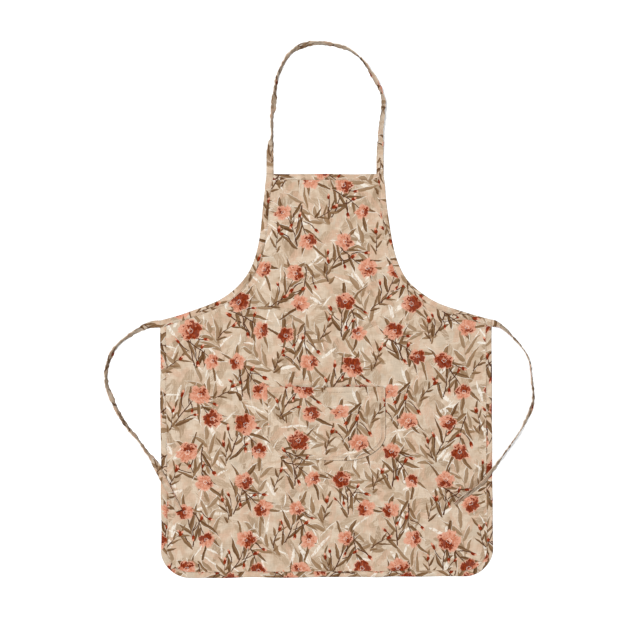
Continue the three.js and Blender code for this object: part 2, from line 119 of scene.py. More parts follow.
class Reading:
    """A number or vector read at each point of the cloth. Arithmetic on numbers adds Math nodes."""

    def __init__(self, socket):
        self.socket = socket
        self.tree = socket.id_data

    def math(self, operation, *others):
        node = self.tree.nodes.new("ShaderNodeMath")
        node.operation = operation
        for socket, value in zip(node.inputs, (self, *others)):
            fill(socket, value)
        return Reading(node.outputs[0])

    def __add__(self, other):
        return self.math("ADD", other)

    def __sub__(self, other):
        return self.math("SUBTRACT", other)

    def __rsub__(self, other):
        return self.math("MULTIPLY_ADD", -1.0, other)

    def __mul__(self, other):
        return self.math("MULTIPLY", other)

    def __truediv__(self, other):
        return self.math("DIVIDE", other)

    def __pow__(self, other):
        return self.math("POWER", other)

    def __abs__(self):
        return self.math("ABSOLUTE")

    def above(self, limit):
        return self.math("GREATER_THAN", limit)

    def ramp(self, low, high):
        """Goes smoothly from 0 at low to 1 at high."""
        node = self.tree.nodes.new("ShaderNodeMapRange")
        node.interpolation_type = "SMOOTHSTEP"
        for label, value in (("Value", self), ("From Min", low), ("From Max", high)):
            fill(node.inputs[label], value)
        return Reading(node.outputs["Result"])

    def edge(self, half_width):
        """Goes from 0 to 1 over a soft edge where this passes nothing."""
        return self.ramp(half_width * -1, half_width)

    def axes(self):
        node = self.tree.nodes.new("ShaderNodeSeparateXYZ")
        fill(node.inputs[0], self)
        return [Reading(output) for output in node.outputs]

    def vector_math(self, operation, *others):
        node = self.tree.nodes.new("ShaderNodeVectorMath")
        node.operation = operation
        for socket, value in zip(node.inputs, (self, *others)):
            fill(socket, value)
        return Reading(node.outputs["Vector"])

    def scaled(self, factor):
        node = self.tree.nodes.new("ShaderNodeVectorMath")
        node.operation = "SCALE"
        fill(node.inputs[0], self)
        fill(node.inputs["Scale"], factor)
        return Reading(node.outputs["Vector"])

    def turned(self, angle):
        node = self.tree.nodes.new("ShaderNodeVectorRotate")
        node.rotation_type = "Z_AXIS"
        fill(node.inputs["Vector"], self)
        fill(node.inputs["Angle"], angle)
        return Reading(node.outputs[0])

    def noise(self, scale, detail=2.0):
        """Soft noise at a vector: a number and a vector, each from 0 to 1."""
        node = self.tree.nodes.new("ShaderNodeTexNoise")
        fill(node.inputs["Vector"], self)
        fill(node.inputs["Scale"], scale)
        fill(node.inputs["Detail"], detail)
        return Reading(node.outputs["Fac"]), Reading(node.outputs["Color"])

    def chance(self):
        """Three numbers from 0 to 1 that are fixed for each value of a vector."""
        node = self.tree.nodes.new("ShaderNodeTexWhiteNoise")
        fill(node.inputs["Vector"], self)
        return Reading(node.outputs["Color"])

    def paint(self, below, above):
        """The colour above, painted over the colour below where this mask is 1."""
        node = self.tree.nodes.new("ShaderNodeMix")
        node.data_type = "RGBA"
        fill(node.inputs["Factor"], self)
        colour_inputs = [socket for socket in node.inputs if socket.type == "RGBA"]
        fill(colour_inputs[0], below)
        fill(colour_inputs[1], above)
        return Reading(next(socket for socket in node.outputs if socket.type == "RGBA"))


def vector(x, y, z=0.0):
    tree = next(part.tree for part in (x, y, z) if isinstance(part, Reading))
    node = tree.nodes.new("ShaderNodeCombineXYZ")
    for socket, value in zip(node.inputs, (x, y, z)):
        fill(socket, value)
    return Reading(node.outputs[0])


def group(name, inputs, outputs):
    """An empty shader group, with readings of its inputs and a function that fills its outputs."""
    tree = bpy.data.node_groups.new(name, "ShaderNodeTree")
    for label, kind in inputs.items():
        tree.interface.new_socket(label, in_out="INPUT", socket_type="NodeSocket" + kind)
    for label, kind in outputs.items():
        tree.interface.new_socket(label, in_out="OUTPUT", socket_type="NodeSocket" + kind)
    sockets = tree.nodes.new("NodeGroupInput").outputs
    given = {socket.name: Reading(socket) for socket in sockets if socket.name}
    result = tree.nodes.new("NodeGroupOutput").inputs

    def put_out(label, value):
        fill(result[label], value)

    return tree, given, put_out


def use(shared, place, **values):
    """A shared group at a place on the cloth. A value's name is its input's, with _ for each space."""
    node = place.tree.nodes.new("ShaderNodeGroup")
    node.node_tree = shared
    fill(node.inputs["Place"], place)
    for label, value in values.items():
        fill(node.inputs[label.replace("_", " ").capitalize()], value)
    return {socket.name: Reading(socket) for socket in node.outputs}


def repeat_group():
    """Cuts the cloth into a half-drop repeat. The place in each repeat is turned and mirrored by chance."""
    tree, given, put_out = group(
        "half drop repeat",
        {
            "Place": "Vector",
            "Shift": "Vector",
            "Width": "Float",
            "Height": "Float",
            "Turn": "Float",
            "Turn spread": "Float",
            "Stray": "Float",
            "Seed": "Float",
        },
        {"Place": "Vector", "Chance": "Color"},
    )
    width, height, seed = given["Width"], given["Height"], given["Seed"]
    x, y, _ = given["Place"].vector_math("ADD", given["Shift"]).axes()
    column = (x / width).math("FLOOR")
    rows_up = y / height + column.math("FLOORED_MODULO", 2.0) * 0.5
    row = rows_up.math("FLOOR")
    local = vector(x - (column + 0.5) * width, (rows_up - row - 0.5) * height)
    chance = vector(column, row, seed).chance()
    stray = vector(row, column, seed + 0.5).chance().vector_math("SUBTRACT", (0.5, 0.5, 0.5))
    turn_chance, mirror_chance, _ = chance.axes()
    strayed = local.vector_math("SUBTRACT", stray.scaled(given["Stray"]))
    turned_x, turned_y, _ = strayed.turned(given["Turn"] + (turn_chance - 0.5) * given["Turn spread"]).axes()
    mirror = (mirror_chance - 0.5).math("SIGN")
    put_out("Place", vector(turned_x * mirror, turned_y))
    put_out("Chance", chance)
    return tree


def spray_group():
    """A bent stem with pointed leaves on alternate sides. Each leaf has its own length, tilt and shade."""
    tree, given, put_out = group(
        "leaf spray",
        {
            "Place": "Vector",
            "Length": "Float",
            "Bend": "Float",
            "Pitch": "Float",
            "Leaf length": "Float",
            "Leaf width": "Float",
            "Stem width": "Float",
            "Softness": "Float",
            "Chance": "Color",
        },
        {"Leaf": "Float", "Edge light": "Float", "Stem": "Float", "Shade": "Float"},
    )
    lean_sine, lean_cotangent, curl, tilt = 0.62, 1.27, 0.006, 0.62
    shortest, length_spread, fullness = 0.55, 0.6, 0.72
    light_reach, stem_middle, stem_taper = 1.12, 0.8, 0.7
    own_tone, upper_tone, chance_spread = 0.62, 0.38, 40
    pitch, softness = given["Pitch"], given["Softness"]
    x, y, _ = given["Place"].axes()
    bent = x - y * y * given["Bend"]
    side = bent.math("SIGN")
    out = abs(bent)
    foot = y - out * lean_cotangent - out * out * curl + side * pitch * 0.25
    number = (foot / pitch).math("ROUND")
    _, _, salt = given["Chance"].axes()
    length_chance, tone_chance, tilt_chance = vector(number, side, salt * chance_spread).chance().axes()
    off = foot - number * pitch + (tilt_chance - 0.5) * out * tilt
    across = off * lean_sine
    along = out / (given["Leaf length"] * (length_chance * length_spread + shortest)) / lean_sine
    eased = along**fullness
    half_width = (eased * (1 - eased) * 4).math("MAXIMUM", 0.0) * given["Leaf width"]
    margin = half_width - abs(across)
    half_length = given["Length"] * 0.5
    on_stem = (half_length - abs(number * pitch)).above(0.0)
    upper_half = across.above(0.0)
    near_leaf = (light_reach - along).above(0.0)
    put_out("Leaf", margin.edge(softness * 0.5) * on_stem * (1 - along).above(0.0))
    put_out("Edge light", (margin + softness).ramp(0.0, softness * 0.6) * upper_half * on_stem * near_leaf)
    taper = stem_middle - y / given["Length"] * stem_taper
    stem_margin = given["Stem width"] * taper - out
    put_out("Stem", stem_margin.edge(softness * 0.4) * (half_length - abs(y)).above(0.0))
    put_out("Shade", tone_chance * own_tone + upper_half * upper_tone)
    return tree


def bloom_group():
    """An open bloom of five broad petals with frayed edges, brushed in salmon with rust from one side."""
    tree, given, put_out = group(
        "bloom",
        {"Place": "Vector", "Radius": "Float", "Softness": "Float", "Chance": "Color"},
        {name: "Float" for name in ("Petal", "Rust", "Crease", "Light", "Deep", "Eye")},
    )
    petal_count, stamen_count = 5, 9
    smallest, size_spread = 0.78, 0.36
    reach_between, lobe_reach, fray_reach = 0.66, 0.27, 0.5
    brush_depth, chance_spread = 8, 60
    rust_to_side, rust_to_middle, rust_in_strokes, rust_by_chance = 0.34, 0.22, 1.5, 0.7
    softness = given["Softness"]
    x, y, _ = given["Place"].axes()
    distance = (x * x + y * y).math("SQRT")
    angle = x.math("ARCTAN2", y)
    side_chance, size_chance, salt = given["Chance"].axes()
    rust_chance, _, _ = vector(salt, side_chance, size_chance).chance().axes()
    fray, _ = vector(angle * 2.4, distance * 0.03, salt * chance_spread).noise(scale=2.1)
    brush, _ = vector(x, y, salt * chance_spread).noise(scale=0.16)
    stroke = brush - 0.5
    lobe = abs((angle * (petal_count / 2)).math("COSINE"))
    reach = lobe**0.5 * lobe_reach + reach_between + (fray - 0.5) * fray_reach
    edge = given["Radius"] * reach * (size_chance * size_spread + smallest)
    share = distance / edge
    facing = (angle - side_chance * math.tau).math("COSINE")
    wash = edge - distance + stroke * brush_depth
    put_out("Petal", wash.edge(softness * 1.8))
    rusty = facing * rust_to_side - share * rust_to_middle + stroke * rust_in_strokes
    rusty = rusty + rust_chance * rust_by_chance
    put_out("Rust", rusty.ramp(0.2, 0.25) * (0.94 - share).ramp(0.0, 0.05))
    put_out("Crease", (0.75 - lobe * distance * 0.5).ramp(0.0, 0.5) * (share - 0.25).above(0.0))
    put_out("Light", (share + (fray - 0.5) * 2.2).ramp(0.62, 0.86))
    put_out("Deep", (brush - share * 0.1).ramp(0.34, 0.5))
    stamens = (angle * stamen_count).math("COSINE").ramp(0.1, 0.5)
    put_out("Eye", stamens * (1.3 - abs(distance - edge * 0.2)).ramp(0.0, 0.7))
    return tree


def bud_group():
    """A closed bud on a short bent stalk, with its tip at the top."""
    tree, given, put_out = group(
        "bud",
        {"Place": "Vector", "Size": "Float", "Softness": "Float"},
        {"Bud": "Float", "Tip": "Float", "Stalk": "Float"},
    )
    fullness, taper = 0.46, 0.14
    stalk_start, stalk_end, stalk_bend, stalk_half_width = 0.9, 4.6, 0.55, 1.0
    size, soft_edge = given["Size"], given["Softness"] * 0.4
    x, y, _ = given["Place"].axes()
    up = y / size
    half_width = (1 - up * up).math("MAXIMUM", 0.0).math("SQRT") * size * (fullness - up * taper)
    put_out("Bud", (half_width - abs(x)).edge(soft_edge) * (1 - abs(up)).above(0.0))
    put_out("Tip", (up - abs(x / size) * 0.9).ramp(0.0, 0.25))
    bent = x - (up + 1) * (up + 1) * stalk_bend
    below = (up * -1 - stalk_start).above(0.0) * (up + stalk_end).above(0.0)
    put_out("Stalk", (stalk_half_width - abs(bent)).edge(soft_edge) * below)
    return tree


def print_group():
    tree, given, put_out = group("floral print", {"Place": "Vector"}, {"Color": "Color", "Ink": "Float"})
    repeat, spray, bloom, bud = repeat_group(), spray_group(), bloom_group(), bud_group()
    flat = given["Place"]
    brush_softness = 1.0

    # The brush wanders a little, and its paint runs thin in streaks
    wander_width, tremble_width = 9.0, 2.2
    half = (0.5, 0.5, 0.5)
    _, broad = flat.noise(scale=0.035, detail=1.0)
    _, fine = flat.noise(scale=0.22)
    wander = broad.vector_math("SUBTRACT", half).scaled(wander_width)
    tremble = fine.vector_math("SUBTRACT", half).scaled(tremble_width)
    place = flat.vector_math("ADD", wander).vector_math("ADD", tremble)
    streaks, _ = flat.vector_math("MULTIPLY", (1.0, 0.4, 1.0)).noise(scale=0.34)
    blots, _ = flat.noise(scale=0.05)
    tint, _ = flat.noise(scale=0.027)

    def repeats(shift, size, **ways):
        width, height = size
        return use(repeat, place, shift=(*shift, 0), width=width, height=height, **ways)

    def leaves_in(cell, foot, softness=brush_softness, **sizes):
        """Leaves on a stem whose middle is a little below the middle of the repeat."""
        on_stem = cell["Place"].vector_math("ADD", (0, foot, 0))
        return use(spray, on_stem, softness=softness, chance=cell["Chance"], **sizes)

    def painted(below, leaves, shaded, lit, stem):
        """The colour below with leaves painted over it in two shades, then their stem."""
        above = leaves["Leaf"].paint(below, leaves["Shade"].paint(shaded, lit))
        return leaves["Stem"].paint(above, stem)

    # Ground, with a few broad leaves washed in behind in each of four tones, then dry white strokes
    colour = blots.ramp(0.36, 0.66).paint(BEIGE, BEIGE_LIGHT)
    colour = (tint.ramp(0.52, 0.66) * 0.45).paint(colour, BEIGE_PINK)
    colour = (tint.ramp(0.46, 0.36) * 0.8).paint(colour, BEIGE_GREY)
    ground_stray = 16
    behind = (
        # tone, strength, shift, repeat, turn, spread, leaf length, leaf width, seed
        (BEIGE_DEEP, 0.9, (37, 81), (72, 78), -1.2, 4.0, 50, 11.0, 7.0),
        (TAUPE, 0.8, (13, 7), (82, 92), 0.7, 2.8, 48, 8.5, 3.0),
        (BEIGE_LIGHT, 0.9, (51, 40), (76, 88), 2.4, 3.6, 48, 8.0, 5.0),
        (BEIGE_PINK, 0.6, (5, 52), (88, 70), 1.7, 4.0, 52, 8.0, 17.0),
    )
    washed = {"foot": 22, "length": 60, "bend": 0.002, "pitch": 33, "stem_width": 0.2, "softness": 1.2}
    for tone, strength, shift, size, turn, spread, leaf_length, leaf_width, seed in behind:
        cell = repeats(shift, size, turn=turn, turn_spread=spread, stray=ground_stray, seed=seed)
        leaves = leaves_in(cell, leaf_length=leaf_length, leaf_width=leaf_width, **washed)
        bristles, _ = cell["Place"].vector_math("MULTIPLY", (0.55, 0.07, 1.0)).noise(scale=1.0)
        colour = (leaves["Leaf"] * bristles.ramp(0.34, 0.52) * strength).paint(colour, tone)
    white = (
        # shift, repeat, turn, leaf length, leaf width, dryness, seed
        ((29, 63), (84, 98), 0.5, 40, 3.2, 0.28, 11.0),
        ((71, 22), (96, 88), -0.6, 46, 5.0, 0.34, 13.0),
    )
    dry = {"foot": 18, "length": 48, "bend": -0.003, "pitch": 29, "stem_width": 0.1}
    for shift, size, turn, leaf_length, leaf_width, dryness, seed in white:
        cell = repeats(shift, size, turn=turn, turn_spread=1.8, stray=ground_stray, seed=seed)
        strokes = leaves_in(cell, leaf_length=leaf_length, leaf_width=leaf_width, **dry)
        slivers = strokes["Leaf"] * strokes["Shade"].above(0.42)
        colour = (slivers * streaks.ramp(dryness, dryness + 0.2) * 0.8).paint(colour, CREAM)

    # Faded sprays, then leafy brown ones on two half-drop repeats that interlock
    repeat_size, spray_foot, spray_stray, tip_height = (108, 126), 14, 8, 23
    stem = {"foot": spray_foot, "length": 78, "stem_width": 1.2}
    cell = repeats((71, 39), repeat_size, turn=-0.7, turn_spread=1.6, stray=spray_stray, seed=15.0)
    faded = leaves_in(cell, bend=0.004, pitch=28, leaf_length=42, leaf_width=4.6, **stem)
    colour = (faded["Edge light"] * 0.8).paint(colour, CREAM)
    colour = painted(colour, faded, LEAF_LIGHT, LEAF_FADED, LEAF_FADED)
    sprays = (
        # shift, turn, bend, bloom radius, seed
        ((0, 0), 0.1, 0.003, 23.5, 1.0),
        ((-28, 19), 2.7, -0.003, 21.5, 2.0),
    )
    cells = []
    for shift, turn, bend, radius, seed in sprays:
        cell = repeats(shift, repeat_size, turn=turn, turn_spread=1.3, stray=spray_stray, seed=seed)
        leaves = leaves_in(cell, bend=bend, pitch=35, leaf_length=46, leaf_width=4.1, **stem)
        colour = (leaves["Edge light"] * 0.85).paint(colour, CREAM)
        colour = painted(colour, leaves, LEAF_DARK, LEAF_LIGHT, STEM_BROWN)
        cells.append((cell, bend, radius))

    # Two buds beside each spray, then a bloom at its tip
    salmon = streaks.ramp(0.38, 0.62).paint(SALMON, SALMON_LIGHT)
    rust = streaks.ramp(0.46, 0.66).paint(RUST, RUST_LIGHT)
    buds = (
        # place beside the spray, lean, size
        ((-27, 4, 0), 0.55, 7.0),
        ((25, -14, 0), -0.7, 6.0),
    )
    for cell, _, _ in cells:
        for corner, lean, size in buds:
            beside = cell["Place"].vector_math("SUBTRACT", corner).turned(-lean)
            closed = use(bud, beside, size=size, softness=brush_softness)
            colour = closed["Stalk"].paint(colour, STEM_BROWN)
            colour = closed["Bud"].paint(colour, closed["Tip"].paint(rust, salmon))
    for cell, bend, radius in cells:
        tip = cell["Place"].vector_math("SUBTRACT", (bend * (tip_height + spray_foot) ** 2, tip_height, 0))
        squat = tip.vector_math("MULTIPLY", (1.0, 1.12, 1.0))
        flower = use(bloom, squat, radius=radius, softness=brush_softness, chance=cell["Chance"])
        petals = (flower["Deep"] * 0.7).paint(SALMON_DEEP, salmon)
        petals = (flower["Light"] * 0.6).paint(petals, SALMON_LIGHT)
        petals = (flower["Crease"] * 0.55).paint(petals, RUST_LIGHT)
        petals = flower["Rust"].paint(petals, rust)
        petals = (flower["Eye"] * 0.8).paint(petals, CREAM)
        colour = (flower["Petal"] * 0.95).paint(colour, petals)

    # Small sprigs in the gaps, each with a bud at its tip
    sprig = {"foot": 0, "length": 44, "bend": 0.004, "pitch": 21, "stem_width": 0.9}
    sprig_tip = (2, 24, 0)
    cell = repeats((-74, -23), repeat_size, turn=0.3, turn_spread=1.6, stray=10, seed=9.0)
    leaves = leaves_in(cell, leaf_length=24, leaf_width=2.6, **sprig)
    colour = painted(colour, leaves, LEAF_DARK, LEAF_LIGHT, STEM_BROWN)
    closed = use(bud, cell["Place"].vector_math("SUBTRACT", sprig_tip), size=7.0, softness=brush_softness)
    colour = closed["Bud"].paint(colour, closed["Tip"].paint(rust, salmon))

    put_out("Color", colour)
    put_out("Ink", streaks)
    return tree


def weave_group():
    """Plain weave: threads over and under each other, with thick and thin stretches both ways."""
    tree, given, put_out = group("plain weave", {"Place": "Vector"}, {"Height": "Float", "Tone": "Float"})
    thread = 0.55
    slub_scale, stretch, slub_height = 0.8, 0.07, 0.6
    darkest, tone_spread = 0.58, 0.42
    flat = given["Place"]
    x, y, _ = flat.axes()
    crossing = (x * (math.pi / thread)).math("SINE") * (y * (math.pi / thread)).math("SINE")
    upright, _ = flat.vector_math("MULTIPLY", (1.0, stretch, 1.0)).noise(slub_scale)
    level, _ = flat.vector_math("MULTIPLY", (stretch, 1.0, 1.0)).noise(slub_scale)
    slub = upright + level
    put_out("Height", abs(crossing) + slub * slub_height)
    put_out("Tone", slub * tone_spread + darkest)
    return tree


floral_print = print_group()
plain_weave = weave_group()


def printed_cotton(name, shift, show=1.0):
    """Cotton cut from the bolt at a shift of its own. show is how much of the ink reaches this face."""
    streak, ink_roughness, cloth_roughness = 0.3, 0.12, 0.8
    material = bpy.data.materials.new(name)
    material.use_nodes = True
    tree = material.node_tree
    shader = tree.nodes["Principled BSDF"]
    flat = tree.nodes.new("ShaderNodeUVMap")
    flat.uv_map = "flat_cut"
    cut = tree.nodes.new("ShaderNodeMapping")
    fill(cut.inputs["Vector"], flat.outputs[0])
    cut.inputs["Location"].default_value = (*shift, 0)
    cut.inputs["Scale"].default_value = (1 / MM, 1 / MM, 1 / MM)
    place = Reading(cut.outputs[0])
    ink = use(floral_print, place)
    weave = use(plain_weave, place)
    colour = ink["Color"]
    if show < 1:
        colour = (ink["Ink"] * streak + (show - streak / 2)).paint(BEIGE_LIGHT, colour)
    tone = weave["Tone"]
    shaded = colour.vector_math("MULTIPLY", vector(tone, tone, tone))
    fill(shader.inputs["Base Color"], shaded)
    fill(shader.inputs["Roughness"], ink["Ink"] * ink_roughness + cloth_roughness)
    shader.inputs["Specular IOR Level"].default_value = 0.06
    shader.inputs["Sheen Weight"].default_value = 0.02
    shader.inputs["Sheen Roughness"].default_value = 0.6
    bump = tree.nodes.new("ShaderNodeBump")
    bump.inputs["Strength"].default_value = 0.4
    bump.inputs["Distance"].default_value = 0.25 * MM
    fill(bump.inputs["Height"], weave["Height"])
    fill(shader.inputs["Normal"], bump.outputs[0])
    return material


# Neck strap and waist ties
# Each is a strip of the same cotton, folded in four to a 15 mm tape and stitched flat along its open edge.
# The strap is one whole loop between the bib's corners. The ties leave the waist corners and end bare.
# They are limp, so they lie on the floor, half turned on edge where they curve.
TAPE_WIDTH = 15 * MM
TAPE_THICKNESS = 1.8 * MM
TAPE_STEP = 2.2 * MM
TAPE_SEAM = 2.2 * MM  # from the open edge to the stitches
TAPE_SEAM_DEPTH = 0.22 * MM
TAPE_CALM_END = 30 * MM  # a tape lies flat over this length at each end
TAPE_ROLL_STRAY = 5  # degrees by which its roll strays
TAPE_CUP = 1.1 * MM  # how far its faces cup
TAPE_CRUMPLE = 0.6 * MM  # and its edges crumple
TAPE_ROLL_WAVES = (0.083, 0.047, 0.031)  # lengths of the waves in each of these, in metres
TAPE_CUP_WAVES = (0.046, 0.071, 0.027)
TAPE_CRUMPLE_WAVES = (0.0145, 0.019, 0.0105)
ROUTE_POINTS = 12  # from each place of a route to the next
NECK_STRAP_LENGTH = 680.5 * MM
LEFT_TIE_LENGTH = 500 * MM
RIGHT_TIE_LENGTH = 480 * MM
AT_CORNER = 1  # lift of a tape where it leaves its corner
ON_EDGING = 2.7  # of a tie over the panel's edging
ON_CLOTH = 1.5  # and past it

# Routes, in millimetres from the middle of the bib's top. roll is in degrees: 0 is flat, 90 stands the tape
# on its right edge and -90 on its left. lift is the height of what the tape lies on.
NECK_ROUTE = (
    # x, y, roll, lift
    (-116, 0, 0, AT_CORNER),
    (-116, 24, 4, 0),
    (-116, 46, 24, 0),
    (-114, 62, 48, 0),
    (-112, 74, 70, 0),
    (-112, 94, 74, 0),
    (-112, 116, 70, 0),
    (-111, 126, 73, 0),
    (-109, 138, 50, 0),
    (-107, 158, 53, 0),
    (-105, 178, 64, 0),
    (-101, 200, 75, 0),
    (-93, 222, 76, 0),
    (-82, 243, 74, 0),
    (-66, 260, 67, 0),
    (-46, 270, 59, 0),
    (-24, 275, 66, 0),
    (0, 274, 73, 0),
    (25, 270, 72, 0),
    (47, 263, 82, 0),
    (67, 250, 85, 0),
    (84, 233, 82, 0),
    (97, 213, 70, 0),
    (109, 192, 66, 0),
    (119, 172, 68, 0),
    (123, 150, 64, 0),
    (121, 122, 61, 0),
    (118, 98, 52, 0),
    (117, 72, 42, 0),
    (116, 46, 28, 0),
    (116, 22, 6, 0),
    (116, 0, 0, AT_CORNER),
)
LEFT_TIE_ROUTE = (
    # x, y, roll, lift
    (-347.6, -316.5, 0, AT_CORNER),
    (-360, -317, -6, 0),
    (-373, -320, -40, 0),
    (-391, -328, -58, 0),
    (-412, -341, -69, 0),
    (-432, -356, -74, 0),
    (-448, -376, -70, 0),
    (-457, -399, -70, 0),
    (-461, -424, -73, 0),
    (-459, -447, -70, 0),
    (-450, -471, -64, 0),
    (-435, -504, -69, 0),
    (-418, -531, -74, 0),
    (-396, -557, -77, 0),
    (-374, -588, -76, 1),
    (-362, -602, -58, 1.6),
    (-355, -615, -14, ON_EDGING),
    (-348, -629, 16, ON_EDGING),
    (-338, -648, 27, ON_EDGING),
    (-322, -680, 28, ON_EDGING),
    (-308, -710, 24, ON_CLOTH),
)
RIGHT_TIE_ROUTE = (
    # x, y, roll, lift
    (351.4, -314.6, 0, AT_CORNER),
    (361, -316, -34, 0),
    (371, -321, -60, 0),
    (384, -332, -71, 0),
    (401, -350, -77, 0),
    (417, -369, -79, 0),
    (427, -386, -82, 0),
    (432, -403, -85, 0),
    (434, -422, -76, 0),
    (437, -447, -70, 0),
    (439, -471, -69, 0),
    (434, -495, -62, 0),
    (425, -516, -60, 0),
    (411, -541, -80, 0),
    (392, -569, -82, 0),
    (371, -598, -72, 1),
    (352, -624, -60, ON_EDGING),
    (334, -648, -56, ON_EDGING),
    (308, -669, -57, ON_CLOTH),
    (286, -685, -58, ON_CLOTH),
    (273, -696, -58, ON_CLOTH),
)


def run_length(points):
    """Distance along a run of points, at each of them."""
    steps = np.linalg.norm(np.diff(points, axis=0), axis=1)
    return np.concatenate(([0.0], np.cumsum(steps)))


def through(rows, per_row):
    """A smooth run through every row, with per_row points from one to the next."""
    rows = np.array(rows, dtype=float)
    padded = np.vstack((2 * rows[0] - rows[1], rows, 2 * rows[-1] - rows[-2]))
    share = np.linspace(0, 1, per_row, endpoint=False)[:, None]
    pieces = []
    for before, start, end, after in zip(padded, padded[1:], padded[2:], padded[3:]):
        bend = 2 * before - 5 * start + 4 * end - after
        turn = 3 * (start - end) + after - before
        pieces.append(start + 0.5 * share * (end - before + share * (bend + share * turn)))
    return np.vstack((*pieces, rows[-1:]))


def at_distances(rows, places):
    """Points of a run at distances along it, measured on its first two columns."""
    distance = run_length(rows[:, :2])
    return np.column_stack([np.interp(places, distance, column) for column in rows.T])


def evenly(rows, step):
    """The run with its rows an even step apart."""
    length = run_length(rows[:, :2])[-1]
    return at_distances(rows, np.linspace(0, length, max(2, round(length / step) + 1)))


def sideways(points):
    """The level direction to the left of a run, at each of its points."""
    ahead = np.gradient(points[:, :2], axis=0)
    ahead /= np.linalg.norm(ahead, axis=1)[:, None]
    return np.column_stack((-ahead[:, 1], ahead[:, 0]))


def ease(value, low, high):
    """Goes smoothly from 0 at low to 1 at high."""
    share = np.clip((value - low) / (high - low), 0, 1)
    return share * share * (3 - 2 * share)


def ripple(distance, seed, lengths):
    """An uneven wave along a run, about 1 high, from a few waves of the lengths given."""
    random = np.random.default_rng(seed)
    waves = [np.sin(math.tau * distance / length + random.uniform(0, math.tau)) for length in lengths]
    return np.sum(waves, axis=0) / math.sqrt(len(lengths))


def cloth_object(name, vertices, faces, flat, materials, face_materials=None):
    """An object with smooth cells and flat ends. flat is the place of each corner of each face on the flat
    cloth, kept as the UV map flat_cut."""
    mesh = bpy.data.meshes.new(name)
    mesh.from_pydata(vertices.tolist(), [], faces)
    mesh.polygons.foreach_set("use_smooth", [len(face) == 4 for face in faces])
    layer = mesh.uv_layers.new(name="flat_cut")
    layer.data.foreach_set("uv", np.asarray(flat, dtype=np.float32).ravel())
    for material in materials:
        mesh.materials.append(material)
    if face_materials is not None:
        mesh.polygons.foreach_set("material_index", np.asarray(face_materials, dtype=np.int32))
    mesh.update()
    return put(name, mesh)


def swept(name, sections, flat, material):
    """A solid through rings of equal length, with flat ends. A ring goes anticlockwise seen from the end."""
    count, corners = sections.shape[:2]
    index = np.arange(count * corners).reshape(count, corners)
    here, there = index[:-1], index[1:]
    quads = np.stack((here, np.roll(here, -1, 1), np.roll(there, -1, 1), there), axis=-1).reshape(-1, 4)
    ends = (index[0, ::-1], index[-1])
    faces = [*quads.tolist(), *(end.tolist() for end in ends)]
    corner_flat = flat.reshape(-1, 2)[np.concatenate((quads.ravel(), *ends))]
    return cloth_object(name, sections.reshape(-1, 3), faces, corner_flat, [material])


def tape_outline():
    """The folded tape's section from left to right: a rounded fold, and two folds with a slit between them.
    The third column is the place across the strip of cloth, counted from the fold."""
    half, face = TAPE_WIDTH / 2, TAPE_THICKNESS / 2
    seam = half - TAPE_SEAM
    pinch, pinch_width, slit = 0.3 * MM, 0.8 * MM, 0.9 * MM
    lip_outside, lip_inside = 0.75 * face, 0.35 * face
    bulge, shoulder = 0.1 * face, 0.7 * face
    marks = np.array((0, 0.35, 0.65, 0.85, 0.95)) * half
    marks = np.sort(np.concatenate((-marks[1:], marks, (seam - pinch_width, seam + pinch_width))))
    heights = face - pinch * np.exp(-(((marks - seam) / pinch_width) ** 2))
    under = np.column_stack((marks, -heights, -(half + marks)))
    upper = np.column_stack((marks, heights, half + marks))[::-1]
    open_edge = (
        (half, -lip_outside, -TAPE_WIDTH),
        (half, -lip_inside, -TAPE_WIDTH),
        (half - slit, 0, TAPE_WIDTH),
        (half, lip_inside, TAPE_WIDTH),
        (half, lip_outside, TAPE_WIDTH),
    )
    fold = (
        (-half + bulge, shoulder, 0),
        (-half - bulge, 0, 0),
        (-half + bulge, -shoulder, 0),
    )
    return np.vstack((under, open_edge, upper, fold))


def calm_ends(distance):
    return ease(np.minimum(distance, distance[-1] - distance), 0, TAPE_CALM_END)


